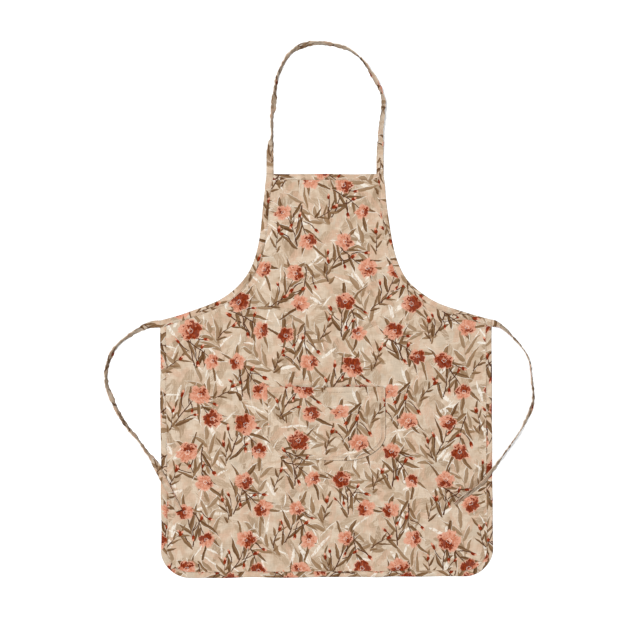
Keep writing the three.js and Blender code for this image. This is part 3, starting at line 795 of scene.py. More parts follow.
class Tape:
    """A tape laid along its route. first_left is the level way to its left where it starts, and fold_side is
    -1 if its closed fold is on the left and 1 if it is on the right."""

    def __init__(self, route, seed, first_left, fold_side):
        self.fold_side = fold_side
        rows = evenly(through(route, ROUTE_POINTS), TAPE_STEP / MM)
        self.distance = run_length(rows[:, :2]) * MM
        turned = ease(self.distance, 0, TAPE_CALM_END)[:, None]
        left = sideways(rows) * turned + np.array(first_left) * (1 - turned)
        self.left = left / np.linalg.norm(left, axis=1)[:, None]
        loose = calm_ends(self.distance)
        stray = TAPE_ROLL_STRAY * loose * ripple(self.distance, seed, TAPE_ROLL_WAVES)
        self.roll = np.radians(rows[:, 2] + stray)
        self.cup = TAPE_CUP * loose * ripple(self.distance, seed + 1, TAPE_CUP_WAVES)
        self.crumple = TAPE_CRUMPLE * loose * ripple(self.distance, seed + 2, TAPE_CRUMPLE_WAVES)
        half, face = TAPE_WIDTH / 2, TAPE_THICKNESS / 2
        lift = np.maximum(rows[:, 3], 0) * MM
        height = lift + half * np.abs(np.sin(self.roll)) + face * np.abs(np.cos(self.roll))
        self.middle = np.column_stack((rows[:, :2] * MM + bib_middle, height))

    def at(self, across, depth):
        """Places on or in the tape: across from its middle, left (-) or right (+), and up its face."""
        share = across / (TAPE_WIDTH / 2)
        depth = depth + self.cup[:, None] * (share**2 - 0.5) + self.crumple[:, None] * share
        cos, sin = np.cos(self.roll)[:, None], np.sin(self.roll)[:, None]
        level = -(across * cos + depth * sin)
        plan = self.middle[:, None, :2] + self.left[:, None, :] * level[..., None]
        height = self.middle[:, None, 2] + depth * cos - across * sin
        return np.concatenate((plan, np.maximum(height, 0)[..., None]), axis=-1)

    def seam(self, face):
        """The row of stitches along the open edge, on the upper face (1) or the lower (-1)."""
        across = -self.fold_side * (TAPE_WIDTH / 2 - TAPE_SEAM)
        depth = face * (TAPE_THICKNESS / 2 - TAPE_SEAM_DEPTH)
        return self.at(np.array([[across]]), np.array([[depth]]))[:, 0]

    def cloth(self, name, strip_start, strip_way, material):
        outline = tape_outline()
        if self.fold_side > 0:
            outline = outline[::-1] * (-1, 1, 1)
        sections = self.at(outline[None, :, 0], outline[None, :, 1])
        along = strip_start + strip_way * self.distance
        flat = np.stack(np.broadcast_arrays(outline[None, :, 2], along[:, None]), axis=-1)
        return swept(name, sections, flat, material)


tape_cloth = printed_cotton("printed_cotton_tape", (118, 36))
ARMHOLE_STRIP = 431.5 * MM  # of the strip lies along an armhole, between strap and tie
cords = (
    # name, route, seed, way to the left at its start, fold side, length, far end
    ("neck_strap", NECK_ROUTE, 11, (-1, 0), -1, NECK_STRAP_LENGTH, "object"),
    ("waist_tie_left", LEFT_TIE_ROUTE, 23, (0, -1), 1, LEFT_TIE_LENGTH, "bare"),
    ("waist_tie_right", RIGHT_TIE_ROUTE, 37, (0, 1), -1, RIGHT_TIE_LENGTH, "bare"),
)

# Where each tape starts on the strip that they are all cut from, and the way it runs along it
STRIP_STARTS = {
    "neck_strap": (0, 1),
    "waist_tie_left": (-ARMHOLE_STRIP, -1),
    "waist_tie_right": (NECK_STRAP_LENGTH + ARMHOLE_STRIP, 1),
}
tapes = []
for name, route, seed, first_left, fold_side, length, far_end in cords:
    tape = Tape(route, seed, first_left, fold_side)
    tapes.append(tape)
    strap = tape.cloth(name + "_cloth", *STRIP_STARTS[name], tape_cloth)
    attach(strap, "root")
    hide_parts(name)


# Panel
# Bib and skirt are one cut of cotton. A strip of the same cotton is folded over its top, sides and bottom
# and stitched through, to a 13 mm edging. The armholes' raw edges are inside bindings of their own. The
# panel lies on the floor with a few soft folds left in it.
CLOTH = 0.8 * MM
EDGING_THICKNESS = 1.9 * MM
PANEL_WIDTH = 699 * MM
PANEL_LENGTH = 853 * MM
BIB_WIDTH = 250 * MM
ARMHOLE_DEPTH = 309 * MM
ARMHOLE_SAMPLES = 400
ARMHOLE_ROWS = 100
SIDE_ROWS = 104
# The armhole is one curve. From bib and waist it sets off along these ways, by these lengths
ARMHOLE_BIB_PULL = np.array((0.06, -1.0)) / math.hypot(0.06, 1.0) * 220 * MM
ARMHOLE_WAIST_PULL = np.array((-1.0, 0.25)) / math.hypot(0.25, 1.0) * 200 * MM
BOTTOM_CORNER = 60 * MM
EDGING_WIDTH = 12.8 * MM
EDGING_SEAM = 11.4 * MM  # from the edge to the edging's stitches
EDGING_SAG = 7 * MM  # past the edging, the cloth comes down to the floor over this width
EDGING_STEP = 0.8 * MM  # from the edging's inner edge down to the panel
EDGING_STEP_WIDTH = 0.6 * MM
EDGING_ROUND = 2.8 * MM  # its fold rounds off over this width
EDGING_FALL = 1.7 * MM  # and by this height
EDGING_CUT = (0.372, -1.22)  # where the strip is cut from the bolt, from the panel's own cut, in metres
EDGING_PUCKER_WIDTH = 7 * MM  # the cloth puckers along it over this width to either side
SEAM_DEPTH = 0.75 * MM  # how far the stitches pull the cloth in
SEAM_WIDTH = 1.3 * MM
LAYER_BEFORE = 0.6 * MM  # an inner layer of cloth ends over these widths, before its edge
LAYER_AFTER = 1.2 * MM  # and after it
BOTTOM_SKEW = 5 * MM
BOTTOM_TILT = 5 * MM
PANEL_INSET = 2.2 * MM  # from the binding's outer edge to the panel's raw edge
BINDING_WIDTH = 13 * MM
BINDING_GAP = 2 * MM  # this far past the binding, the panel starts down to the floor
BINDING_RAMP = 36 * MM  # and this far past it, it has come down
BINDING_PUCKER_WIDTH = 9 * MM
IN_BINDING = 1.0 * MM  # height of the panel's underside inside a binding
PAST_BINDING = (14 * MM, 20 * MM)  # from the armhole, the edging starts between these distances
PUCKER_CLEAR = (11 * MM, 15 * MM)  # and the puckers between these
PUCKER = 0.25 * MM
UNEVEN = 0.55 * MM  # the laid cloth is uneven by about this height
UNEVEN_LIFT = 0.35 * MM  # and lies this much off the floor
POCKET_CALM = (-2 * MM, 30 * MM)  # it calms down between these distances from the pocket
TIE_CALM = (20 * MM, 70 * MM)  # and between these from the ties' ends
BOTTOM_BLEND = 0.35  # share of the rows over which the bottom's bend fades
SHARP_TURN = 0.5  # radians, past which an outline has a corner
ON_EDGE = 1 * MM  # a cell nearer to an edge than this is along it
EDGE_SAMPLE = 0.5 * MM
EDGE_STRAY = 0.8 * MM  # how far the laid cloth strays from its flat cut
STRAY_RAMP = 70 * MM  # from a corner, to where it strays by all of it
PANEL_COLUMNS = 140
CORNER_ROWS = 12
PANEL_CUT = (18, -148)  # where it is cut from the bolt
BACK_INK = 0.35  # share of the ink that shows on the back

# Soft folds, in millimetres from the middle of the bib's top
FOLDS = (
    # from, to, height, half width
    ((-205, -410), (-178, -810), 5, 42),
    ((196, -420), (214, -830), 4.5, 38),
    ((-330, -395), (-150, -440), 3.5, 30),
    ((330, -400), (150, -425), 3.5, 28),
    ((-95, -112), (88, -140), 3, 24),
    ((-120, -330), (95, -300), 3, 30),
    ((-76, -670), (-52, -930), 4.5, 44),
    ((96, -660), (112, -940), 4, 36),
)
FOLD_RUNOUT = 0.3


def laid(flat):
    """Where a place on the flat cut comes to lie: the bottom is drawn to the right and tilted a little, and
    the cloth strays a little everywhere but at the corners where the tapes start."""
    down = -flat[:, 1] / PANEL_LENGTH
    across = flat[:, 0] / PANEL_WIDTH + 0.5
    tape_corners = ((BIB_WIDTH / 2, 0), (PANEL_WIDTH / 2, -ARMHOLE_DEPTH))
    sides = np.abs(flat * (1, 0)) + flat * (0, 1)
    from_corner = np.min([np.linalg.norm(sides - corner, axis=1) for corner in tape_corners], axis=0)
    stray = EDGE_STRAY * ease(from_corner, BINDING_WIDTH, STRAY_RAMP)
    seeds = (41, 43)
    astray = [stray * waves(flat, seed, count=8, shortest=60, longest=190) for seed in seeds]
    drawn = np.column_stack((BOTTOM_SKEW * down, BOTTOM_TILT * down * across))
    return flat + drawn + np.column_stack(astray) + bib_middle


def mirrored(points):
    """Places on the flat cut, mirrored from its one side to the other."""
    return points * (-1, 1)


def chained(*runs):
    """Runs of points end to end, without the point that each shares with the run before it."""
    return np.vstack((runs[0], *(run[1:] for run in runs[1:])))


def line(start, end, count):
    return np.linspace(start, end, count + 1)


def armhole(count):
    """The right armhole's finished edge from bib to waist, and the way inwards at each point."""
    bib, waist = np.array((BIB_WIDTH / 2, 0.0)), np.array((PANEL_WIDTH / 2, -ARMHOLE_DEPTH))
    share = np.linspace(0, 1, ARMHOLE_SAMPLES)[:, None]
    rest = 1 - share
    pull = rest * (bib + ARMHOLE_BIB_PULL) + share * (waist + ARMHOLE_WAIST_PULL)
    curve = rest**3 * bib + 3 * rest * share * pull + share**3 * waist
    points = at_distances(curve, np.linspace(0, run_length(curve)[-1], count + 1))
    square = -sideways(points)
    inward = square.copy()
    inward[0], inward[-1] = (-1, 0), (0, -1)
    return points, inward / np.sum(inward * square, axis=1)[:, None]


def rounded_patch(right_side, bottom_y, corner, columns, corner_rows):
    """The four edges of a patch with rounded lower corners, each split at the middle of a corner."""
    centre = np.array((right_side[-1, 0] - corner[0], bottom_y + corner[1]))
    angle = np.linspace(0, -math.pi / 2, 2 * corner_rows + 1)[:, None]
    arc = centre + np.hstack((np.cos(angle), np.sin(angle))) * corner
    right = chained(right_side, arc[: corner_rows + 1])[::-1]
    under_right = arc[corner_rows:][::-1]
    flat = line((-centre[0], bottom_y), under_right[0], columns - 2 * corner_rows)
    bottom = chained(mirrored(under_right)[::-1], flat, under_right)
    top = line(mirrored(right_side[0]), right_side[0], columns)
    return {"top": top, "bottom": bottom, "right": right, "left": mirrored(right)}


def inset(loop, distance):
    """The closed loop drawn inside itself at an even distance. Each run between two sharp corners is
    shortened at both ends, so that its points don't cross."""
    count = len(loop)
    back, ahead = np.roll(loop, 1, 0) - loop, np.roll(loop, -1, 0) - loop
    lengths = np.linalg.norm(back, axis=1) * np.linalg.norm(ahead, axis=1)
    angle = np.arccos(np.clip(np.sum(back * ahead, axis=1) / lengths, -1, 1))
    corners = np.flatnonzero(angle < math.pi - SHARP_TURN)
    cuts = distance / np.tan(angle[corners] / 2)
    inner = np.zeros_like(loop)
    ends = (*corners[1:], corners[0] + count)
    for start, end, cut, next_cut in zip(corners, ends, cuts, np.roll(cuts, -1)):
        numbers = np.arange(start, end + 1) % count
        run = loop[numbers]
        along = run_length(run)
        points = at_distances(run, cut + along * (1 - (cut + next_cut) / along[-1]))
        inner[numbers] = points + sideways(points) * distance
    return inner


def patch_plan(edges, insets):
    """Points and cells of a patch: rings along its edge, then a grid whose rows go straight across."""
    columns, rows = len(edges["bottom"]) - 1, len(edges["right"]) - 1
    loop = chained(edges["bottom"], edges["right"], edges["top"][::-1], edges["left"][::-1])[:-1]
    rings = [loop] + [inset(loop, distance) for distance in insets]
    count = len(loop)
    inner = np.vstack((rings[-1], rings[-1][:1]))
    bottom, right = inner[: columns + 1], inner[columns : columns + rows + 1]
    top, left = inner[columns + rows : 2 * columns + rows + 1][::-1], inner[2 * columns + rows :][::-1]
    shares = [(edge[:, 0] - edge[0, 0]) / (edge[-1, 0] - edge[0, 0]) for edge in (bottom, top)]
    up = np.linspace(0, 1, rows + 1)[:, None]
    share = ((1 - up) * shares[0] + up * shares[1])[..., None]
    grid = left[:, None] * (1 - share) + right[:, None] * share
    bend = bottom - (bottom[0] + (bottom[-1] - bottom[0]) * shares[0][:, None])
    grid += bend[None] * (1 - ease(up, 0, BOTTOM_BLEND))[..., None]

    start = (len(rings) - 1) * count
    index = np.zeros((rows + 1, columns + 1), dtype=int)
    index[1:-1, 1:-1] = start + count + np.arange((rows - 1) * (columns - 1)).reshape(rows - 1, columns - 1)
    index[0] = start + np.arange(columns + 1)
    index[:, -1] = start + columns + np.arange(rows + 1)
    index[-1] = start + columns + rows + np.arange(columns + 1)[::-1]
    index[1:, 0] = start + 2 * columns + rows + np.arange(rows)[::-1]
    cells = [np.stack((index[:-1, :-1], index[:-1, 1:], index[1:, 1:], index[1:, :-1]), -1).reshape(-1, 4)]
    around = np.arange(count)
    for ring in range(len(insets)):
        outer, inner_ring = ring * count + around, (ring + 1) * count + around
        cells.append(np.stack((outer, np.roll(outer, -1), np.roll(inner_ring, -1), inner_ring), -1))
    plan = np.vstack((*rings, grid[1:-1, 1:-1].reshape(-1, 2)))
    return plan, np.vstack(cells), count


def edging_corners(loop, insets):
    """Places on a strip that is folded over a closed edge, for the corners of each cell of each ring."""
    along = run_length(np.vstack((loop, loop[:1])))
    here, ahead = along[:-1], along[1:]
    rows = []
    for outer, inner in zip((0.0, *insets), insets):
        across = np.broadcast_to((outer, outer, inner, inner), (len(loop), 4))
        rows.append(np.stack((across, np.stack((here, ahead, ahead, here), -1)), -1))
    return np.array(rows)


def cloth_sheet(name, edges, insets, heights, front, back, edged=None):
    """A closed sheet of cloth over the plan of a patch, with its front and its back in two materials. The
    outer rings along the edges in edged are a strip of the front's cloth, folded over."""
    plan, cells, edge_count = patch_plan(edges, insets)
    under, upper = heights(plan)
    places = laid(plan)
    total = len(plan)
    vertices = np.vstack((np.column_stack((places, under)), np.column_stack((places, upper))))
    around = np.arange(edge_count)
    wall = np.stack((around, np.roll(around, -1), total + np.roll(around, -1), total + around), -1)
    faces = np.vstack((cells + total, wall, cells[:, ::-1]))
    face_materials = np.zeros(len(faces))
    face_materials[-len(cells) :] = 1
    flat = np.vstack((plan, plan))[faces]
    if edged is not None:
        loop = plan[:edge_count]
        cell_middles = (loop + np.roll(loop, -1, 0)) / 2
        in_strip = np.flatnonzero(edged.distance(cell_middles) < ON_EDGE)
        strip = edging_corners(loop, insets[insets <= EDGING_WIDTH])[:, in_strip]
        first_ring = len(cells) - edge_count * len(insets)
        flat[len(cells) + in_strip] = strip[0] * (0, 1) + EDGING_CUT
        for ring, corners in enumerate(strip):
            front_cells = first_ring + ring * edge_count + in_strip
            back_cells = front_cells + len(cells) + edge_count
            flat[front_cells] = corners + EDGING_CUT
            flat[back_cells] = corners[:, ::-1] * (-1, 1) + EDGING_CUT
            face_materials[back_cells] = 0
    return cloth_object(name, vertices, faces.tolist(), flat, [front, back], face_materials)


class Edge:
    """Edges of the cut, for the distance from them to any place on the cloth."""

    def __init__(self, *runs):
        points = np.vstack([evenly(run, EDGE_SAMPLE) for run in runs])
        self.tree = KDTree(len(points))
        for number, (x, y) in enumerate(points):
            self.tree.insert((x, y, 0), number)
        self.tree.balance()

    def distance(self, places):
        return np.array([self.tree.find((x, y, 0))[2] for x, y in places])


def fold_height(flat, folds):
    """Height of soft folds, each a ridge from one place to another that runs out at both ends."""
    height = np.zeros(len(flat))
    for start, end, rise, half_width in folds:
        start, run = np.array(start) * MM, np.subtract(end, start) * MM
        length = np.linalg.norm(run)
        offset = flat - start
        along = offset @ run / length**2
        across = np.abs(offset[:, 0] * run[1] - offset[:, 1] * run[0]) / length / (half_width * MM)
        fade = ease(along, 0, FOLD_RUNOUT) * ease(1 - along, 0, FOLD_RUNOUT)
        height += rise * MM * fade * np.cos(np.clip(across, 0, 1) * math.pi / 2) ** 2
    return height


def creases(count, seed):
    """Short slight creases over the panel at places and turns drawn by chance, like the rows of FOLDS."""
    side, top, bottom, turn_spread = 340, -10, -845, 0.8
    half_lengths, heights, half_widths = (25, 70), (0.25, 0.8), (5, 11)
    random = np.random.default_rng(seed)
    rows = []
    for _ in range(count):
        middle = np.array((random.uniform(-side, side), random.uniform(bottom, top)))
        angle = random.normal(math.pi / 2, turn_spread)
        half = random.uniform(*half_lengths) * np.array((math.cos(angle), math.sin(angle)))
        rows.append((middle - half, middle + half, random.uniform(*heights), random.uniform(*half_widths)))
    return rows


def waves(flat, seed, count, shortest, longest):
    """A slight unevenness, about 1 high, from plane waves that cross each other."""
    random = np.random.default_rng(seed)
    height = np.zeros(len(flat))
    for _ in range(count):
        angle, length = random.uniform(0, math.pi), random.uniform(shortest, longest) * MM
        way = np.array((math.cos(angle), math.sin(angle))) * math.tau / length
        height += np.sin(flat @ way + random.uniform(0, math.tau))
    return height / math.sqrt(count)


def bump_at(distance, place, width):
    """1 at a place, falling to nothing over its width on both sides."""
    return np.exp(-(((distance - place) / width) ** 2))


def past_layer(distance, width):
    """Goes from 0 to 1 where an inner layer of cloth ends, at its width from an edge."""
    return ease(distance, width - LAYER_BEFORE, width + LAYER_AFTER)


armhole_points, armhole_inward = armhole(ARMHOLE_ROWS)
raw_edge = armhole_points + armhole_inward * PANEL_INSET
side_run = line(raw_edge[-1], (PANEL_WIDTH / 2, BOTTOM_CORNER - PANEL_LENGTH), SIDE_ROWS)
right_side = chained(raw_edge, side_run)
panel_corner = (BOTTOM_CORNER, BOTTOM_CORNER)
panel_edges = rounded_patch(right_side, -PANEL_LENGTH, panel_corner, PANEL_COLUMNS, CORNER_ROWS)
armhole_edge = Edge(raw_edge, mirrored(raw_edge))
edged_right = [side_run, panel_edges["right"][: CORNER_ROWS + 2]]
edged_left = [mirrored(run) for run in edged_right]
edged_sides = Edge(panel_edges["top"], panel_edges["bottom"], *edged_right, *edged_left)

# The cloth lies calm under the pocket and where the ties' ends lie on it
POCKET_ZONE = np.array(((-128, -608), (132, -445))) * MM
TIE_ENDS = np.array(((-345, -625), (-330, -660), (-310, -705), (280, -690), (310, -668), (340, -645))) * MM
CREASES = creases(count=90, seed=8)


def panel_heights(flat):
    """The panel's underside and front, at places on the flat cut."""
    from_armhole = armhole_edge.distance(flat)
    from_edge = edged_sides.distance(flat)
    free = ease(from_armhole, BINDING_WIDTH + BINDING_GAP, BINDING_WIDTH + BINDING_RAMP)
    from_pocket = np.max(np.maximum(POCKET_ZONE[0] - flat, flat - POCKET_ZONE[1]), axis=1)
    from_ties = np.min([np.linalg.norm(flat - end, axis=1) for end in TIE_ENDS], axis=0)
    calm = ease(from_pocket, *POCKET_CALM) * ease(from_ties, *TIE_CALM)
    uneven = UNEVEN * waves(flat, seed=5, count=14, shortest=60, longest=150)
    slight = uneven + fold_height(flat, CREASES) + UNEVEN_LIFT
    beside_edging = bump_at(from_edge, EDGING_WIDTH, EDGING_PUCKER_WIDTH)
    beside_seams = beside_edging + bump_at(from_armhole, BINDING_WIDTH, BINDING_PUCKER_WIDTH)
    pucker = PUCKER * beside_seams * waves(flat, seed=17, count=10, shortest=9, longest=17)
    pucker *= ease(from_armhole, *PUCKER_CLEAR)
    lift = free * (fold_height(flat, FOLDS) + calm * np.maximum(slight, 0))
    under = IN_BINDING * (1 - free) + np.maximum(lift + pucker, 0)

    # The edging holds the panel up off the floor along its edge
    past_binding = ease(from_armhole, *PAST_BINDING)
    strip = (EDGING_THICKNESS - CLOTH) * past_binding
    top_step = EDGING_STEP * past_binding
    step = top_step * (1 - ease(from_edge, EDGING_WIDTH, EDGING_WIDTH + EDGING_STEP_WIDTH))
    sag = (strip - top_step) * (1 - ease(from_edge, EDGING_WIDTH, EDGING_WIDTH + EDGING_SAG))
    held_up = step + sag
    groove = SEAM_DEPTH * past_binding * bump_at(from_edge, EDGING_SEAM, SEAM_WIDTH)
    to_fold = np.clip(1 - from_edge / EDGING_ROUND, 0, 1)
    rounded = EDGING_FALL * past_binding * (1 - np.sqrt(1 - to_fold**2))
    front = under + CLOTH + held_up - groove - rounded
    return under + np.minimum(held_up, strip * past_layer(from_edge, EDGING_WIDTH)), front


# Rings of cells along the edge, in millimetres from it
PANEL_RINGS = (0.2, 0.6, 1.2, 2.4, 4.4, 7, 9, 10.4, 11.4, 12.2, 12.8, 13.4, 14.8, 16.3, 18, 20)
panel = cloth_sheet(
    "apron_panel_cloth",
    panel_edges,
    np.array(PANEL_RINGS) * MM,
    panel_heights,
    printed_cotton("printed_cotton_panel", PANEL_CUT),
    printed_cotton("printed_cotton_panel_back", PANEL_CUT, show=BACK_INK),
    edged=edged_sides,
)
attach(panel, "root")
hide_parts("apron_panel")


# Patch pocket
# A D-shaped patch of the same cotton, hemmed along its mouth and turned under round its sides and bottom.
# It is top-stitched to the panel on three sides, and its mouth stands a little open.
POCKET_DROP = 450.5 * MM
POCKET_WIDTH = 248 * MM
POCKET_DEPTH = 154.5 * MM
POCKET_CORNER = (85 * MM, 55 * MM)
POCKET_SEAM = 4.6 * MM  # from the edge to the stitches
POCKET_TURNING = 8 * MM  # width of cloth turned under along the seam
POCKET_BULGE = 8 * MM
POCKET_BULGE_RAMP = 75 * MM
POCKET_BULGE_LOSS = 0.75
POCKET_GAP = 0.25 * MM  # between its turned edges and the panel
POCKET_UNEVEN = 0.3 * MM
POCKET_UNEVEN_RAMP = (4 * MM, 30 * MM)  # from the edge
POCKET_PUCKER = 0.2 * MM
POCKET_PUCKER_PLACE = 6 * MM  # from the edge
POCKET_PUCKER_WIDTH = 6 * MM
POCKET_PUCKER_RAMP = (1 * MM, 4 * MM)  # from the edge
MOUTH_HEM = EDGING_WIDTH  # the mouth's hem is as wide as the panel's edging
MOUTH_SEAM = EDGING_SEAM
POCKET_HEM_THICKNESS = EDGING_THICKNESS
FOLD_ROUND = 3.2 * MM  # its folded edges round off over this width
FOLD_FALL = 1.2 * MM  # and by this height
POCKET_COLUMNS = 76
POCKET_SIDE_ROWS = 34
POCKET_CUT = (122, -104)  # where it is cut from the bolt

# The free edge stands up outside the stitches, most of all at the lower right, where the cloth inside them
# puffs up and puckers. Puckers are in millimetres from the middle of the bib's top.
POCKET_EDGE_LIFT = 1.3 * MM
POCKET_CORNER_LIFT = 2.0 * MM
POCKET_ROLL = 4.2 * MM
POCKET_ROLL_PLACE = 9.5 * MM  # from the edge
POCKET_ROLL_WIDTH = 2.5 * MM
POCKET_ROLL_START = (-10 * MM, 40 * MM)  # from the middle, to where the roll is whole
POCKET_ROLL_LOW = (490 * MM, 560 * MM)  # below the bib's top, the lower share of it comes in
POCKET_ROLL_SIDE, POCKET_ROLL_LOWER = 0.55, 0.45  # shares of it all along the side, and low down
POCKET_ROLL_EVEN, POCKET_ROLL_STRAY = 0.85, 0.25  # and how even it is
LIFT_START = 1 * MM  # the free edge is lifted by the whole height this far in
PUFF_RAMP = (10 * MM, 16 * MM)  # the puckers rise between these distances from the edge
POCKET_PUCKERS = (
    # from, to, height, half width
    ((8, -585), (84, -578), 2.2, 5),
    ((40, -586), (92, -562), 2.0, 4.5),
    ((66, -571), (108, -540), 2.2, 4.5),
    ((104, -470), (110, -520), 1.6, 4.5),
)
mouth_end = np.array((POCKET_WIDTH / 2, -POCKET_DROP))
pocket_bottom = -POCKET_DROP - POCKET_DEPTH
pocket_side = line(mouth_end, (POCKET_WIDTH / 2, pocket_bottom + POCKET_CORNER[1]), POCKET_SIDE_ROWS)
pocket_edges = rounded_patch(pocket_side, pocket_bottom, POCKET_CORNER, POCKET_COLUMNS, CORNER_ROWS)
pocket_seam = Edge(pocket_edges["left"], pocket_edges["bottom"], pocket_edges["right"])
pocket_mouth = Edge(pocket_edges["top"])


def pocket_heights(flat):
    """The pocket's underside and front, at places on the flat cut."""
    from_seam, from_mouth = pocket_seam.distance(flat), pocket_mouth.distance(flat)
    open_share = 1 - POCKET_BULGE_LOSS * np.clip(from_mouth / POCKET_DEPTH, 0, 1)
    bulge = POCKET_BULGE * open_share * ease(from_seam, 0, POCKET_BULGE_RAMP)
    uneven = 1 + waves(flat, seed=31, count=9, shortest=35, longest=80)
    slight = POCKET_UNEVEN * uneven * ease(from_seam, *POCKET_UNEVEN_RAMP)
    beside_seam = bump_at(from_seam, POCKET_PUCKER_PLACE, POCKET_PUCKER_WIDTH)
    beside_seam *= ease(from_seam, *POCKET_PUCKER_RAMP)
    pucker = POCKET_PUCKER * (1 + waves(flat, seed=33, count=8, shortest=9, longest=16)) * beside_seam
    pucker += fold_height(flat, POCKET_PUCKERS) * ease(from_seam, *PUFF_RAMP)
    x, y = flat.T
    to_corner = POCKET_ROLL_SIDE + POCKET_ROLL_LOWER * ease(-y, *POCKET_ROLL_LOW)
    to_corner *= ease(x, *POCKET_ROLL_START)
    rolled = POCKET_ROLL_EVEN + POCKET_ROLL_STRAY * waves(flat, seed=35, count=6, shortest=18, longest=45)
    rolled *= to_corner
    pucker += POCKET_ROLL * rolled * bump_at(from_seam, POCKET_ROLL_PLACE, POCKET_ROLL_WIDTH)
    lifted = POCKET_EDGE_LIFT + POCKET_CORNER_LIFT * rolled
    pucker += lifted * (1 - ease(from_seam, LIFT_START, POCKET_SEAM)) * ease(from_mouth, 0, MOUTH_HEM)
    lowest = panel_heights(flat)[1] + POCKET_GAP + POCKET_HEM_THICKNESS
    front = lowest + bulge + slight + pucker
    in_hem = 1 - past_layer(from_mouth, MOUTH_HEM)
    in_turning = 1 - past_layer(from_seam, POCKET_TURNING)
    grooves = bump_at(from_mouth, MOUTH_SEAM, SEAM_WIDTH) + bump_at(from_seam, POCKET_SEAM, SEAM_WIDTH)
    rounded = FOLD_FALL * (1 - np.clip(np.minimum(from_seam, from_mouth) / FOLD_ROUND, 0, 1)) ** 2
    thick = CLOTH + (POCKET_HEM_THICKNESS - CLOTH) * np.maximum(in_hem, in_turning)
    return front - thick, front - SEAM_DEPTH * np.minimum(grooves, 1) - rounded


# Rings of cells along the edge, in millimetres from it
POCKET_RINGS = (0.5, 1.3, 2.3, 3.4, 4.6, 5.8, 7.1, 8.4, 9.5, 10.6, 11.8, 13.2)
pocket = cloth_sheet(
    "pocket_cloth",
    pocket_edges,
    np.array(POCKET_RINGS) * MM,
    pocket_heights,
    printed_cotton("printed_cotton_pocket", POCKET_CUT),
    printed_cotton("printed_cotton_pocket_back", POCKET_CUT, show=BACK_INK),
)
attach(pocket, "root")
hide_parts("pocket")


# Armhole bindings
# The strip of cotton that makes a tie and the neck strap runs on along the armhole between them. There it is
# folded lengthwise over the panel's raw edge and stitched through near its inner edge.
BINDING_WALL = 0.75 * MM
BINDING_HEIGHT = 3.3 * MM
BINDING_SEAM = 11.2 * MM  # from the fold to the stitches
BINDING_GROOVE = 0.3 * MM  # depth of the groove that the stitches pull
BINDING_GROOVE_WIDTH = 0.9 * MM
BINDING_SEAM_DEPTH = 0.22 * MM
BINDING_PUCKER = 0.22 * MM
BINDING_PUCKER_WAVES = (0.0087, 0.0131, 0.0192)  # lengths of its waves, in metres
BINDING_ROWS = 180
FOLD_POINTS = 9
BINDING_ENDS = 26 * MM  # over this length it becomes the tape at either end
TAPE_TOP = AT_CORNER * MM + TAPE_THICKNESS
STRAP_OFFSET = 1.5 * MM  # from the bib's corner to the strap's outer edge


def binding_outline():
    """Section of the folded strip: its depth from the fold, its height and its place across the strip."""
    angle = np.linspace(-math.pi / 2, math.pi / 2, FOLD_POINTS)
    sine, cosine = np.sin(angle), np.cos(angle)
    radius = BINDING_HEIGHT / 2
    inner = radius - BINDING_WALL
    reach = np.array((0.45, 0.7, 0.79, 0.86, 0.93, 0.98, 1.0)) * BINDING_WIDTH
    groove = BINDING_GROOVE * bump_at(reach, BINDING_SEAM, BINDING_GROOVE_WIDTH)
    level = np.ones(len(reach))
    top_out = np.column_stack((reach, BINDING_HEIGHT - groove, reach))
    top_in = np.column_stack((reach, level * (BINDING_HEIGHT - BINDING_WALL), reach))
    low_out = np.column_stack((reach, level * 0, -reach))
    low_in = np.column_stack((reach, level * BINDING_WALL, -reach))
    fold = np.column_stack((radius * (1 - cosine), radius * (1 + sine), radius * sine))
    slot = np.column_stack((radius - inner * cosine, radius + inner * sine, radius * sine))
    return np.vstack((low_out[::-1], fold, top_out, top_in[::-1], slot[::-1], low_in))


class Binding:
    """A binding along one armhole. side is 1 for the right one and -1 for the left."""

    def __init__(self, side, seed):
        self.side = side
        self.points, self.inward = armhole(BINDING_ROWS)
        self.distance = run_length(self.points)
        self.to_strap = 1 - ease(self.distance, 0, BINDING_ENDS)
        self.to_tie = ease(self.distance, self.distance[-1] - BINDING_ENDS, self.distance[-1])
        self.to_end = np.maximum(self.to_strap, self.to_tie)
        self.pucker = BINDING_PUCKER * (1 - self.to_end) * ripple(self.distance, seed, BINDING_PUCKER_WAVES)

    def widening(self):
        """How much wider the strip is at each row than halfway along the armhole."""
        return (1 + self.to_end * (TAPE_WIDTH / BINDING_WIDTH - 1))[:, None]

    def at(self, depth, height):
        """Places on the binding, at depths from the fold and heights over the floor."""
        widened = depth * self.widening() + STRAP_OFFSET * self.to_strap[:, None]
        flat = self.points[:, None] + self.inward[:, None] * widened[..., None]
        places = laid((flat * (self.side, 1)).reshape(-1, 2)).reshape(flat.shape)
        lowered = height * (1 + self.to_end[:, None] * (TAPE_TOP / BINDING_HEIGHT - 1))
        upper = np.clip(height / BINDING_HEIGHT * 2 - 1, 0, 1)
        return np.concatenate((places, (lowered + self.pucker[:, None] * upper)[..., None]), axis=-1)

    def seam(self, height):
        """The row of stitches, at a height over the floor."""
        return self.at(np.array([[BINDING_SEAM]]), np.array([[height]]))[:, 0]

    def cloth(self, name):
        outline = binding_outline()
        sections = self.at(outline[None, :, 0], outline[None, :, 1])
        along = NECK_STRAP_LENGTH + self.distance if self.side > 0 else -self.distance
        flat = np.stack(np.broadcast_arrays(outline[None, :, 2] * self.widening(), along[:, None]), axis=-1)
        if self.side > 0:
            sections, flat = sections[:, ::-1], flat[:, ::-1]
        return swept(name, sections, flat, tape_cloth)


bindings = {"armhole_binding_left": Binding(-1, 61), "armhole_binding_right": Binding(1, 83)}
for name, binding in bindings.items():
    strip = binding.cloth(name + "_cloth")
    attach(strip, "root")
    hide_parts(name)


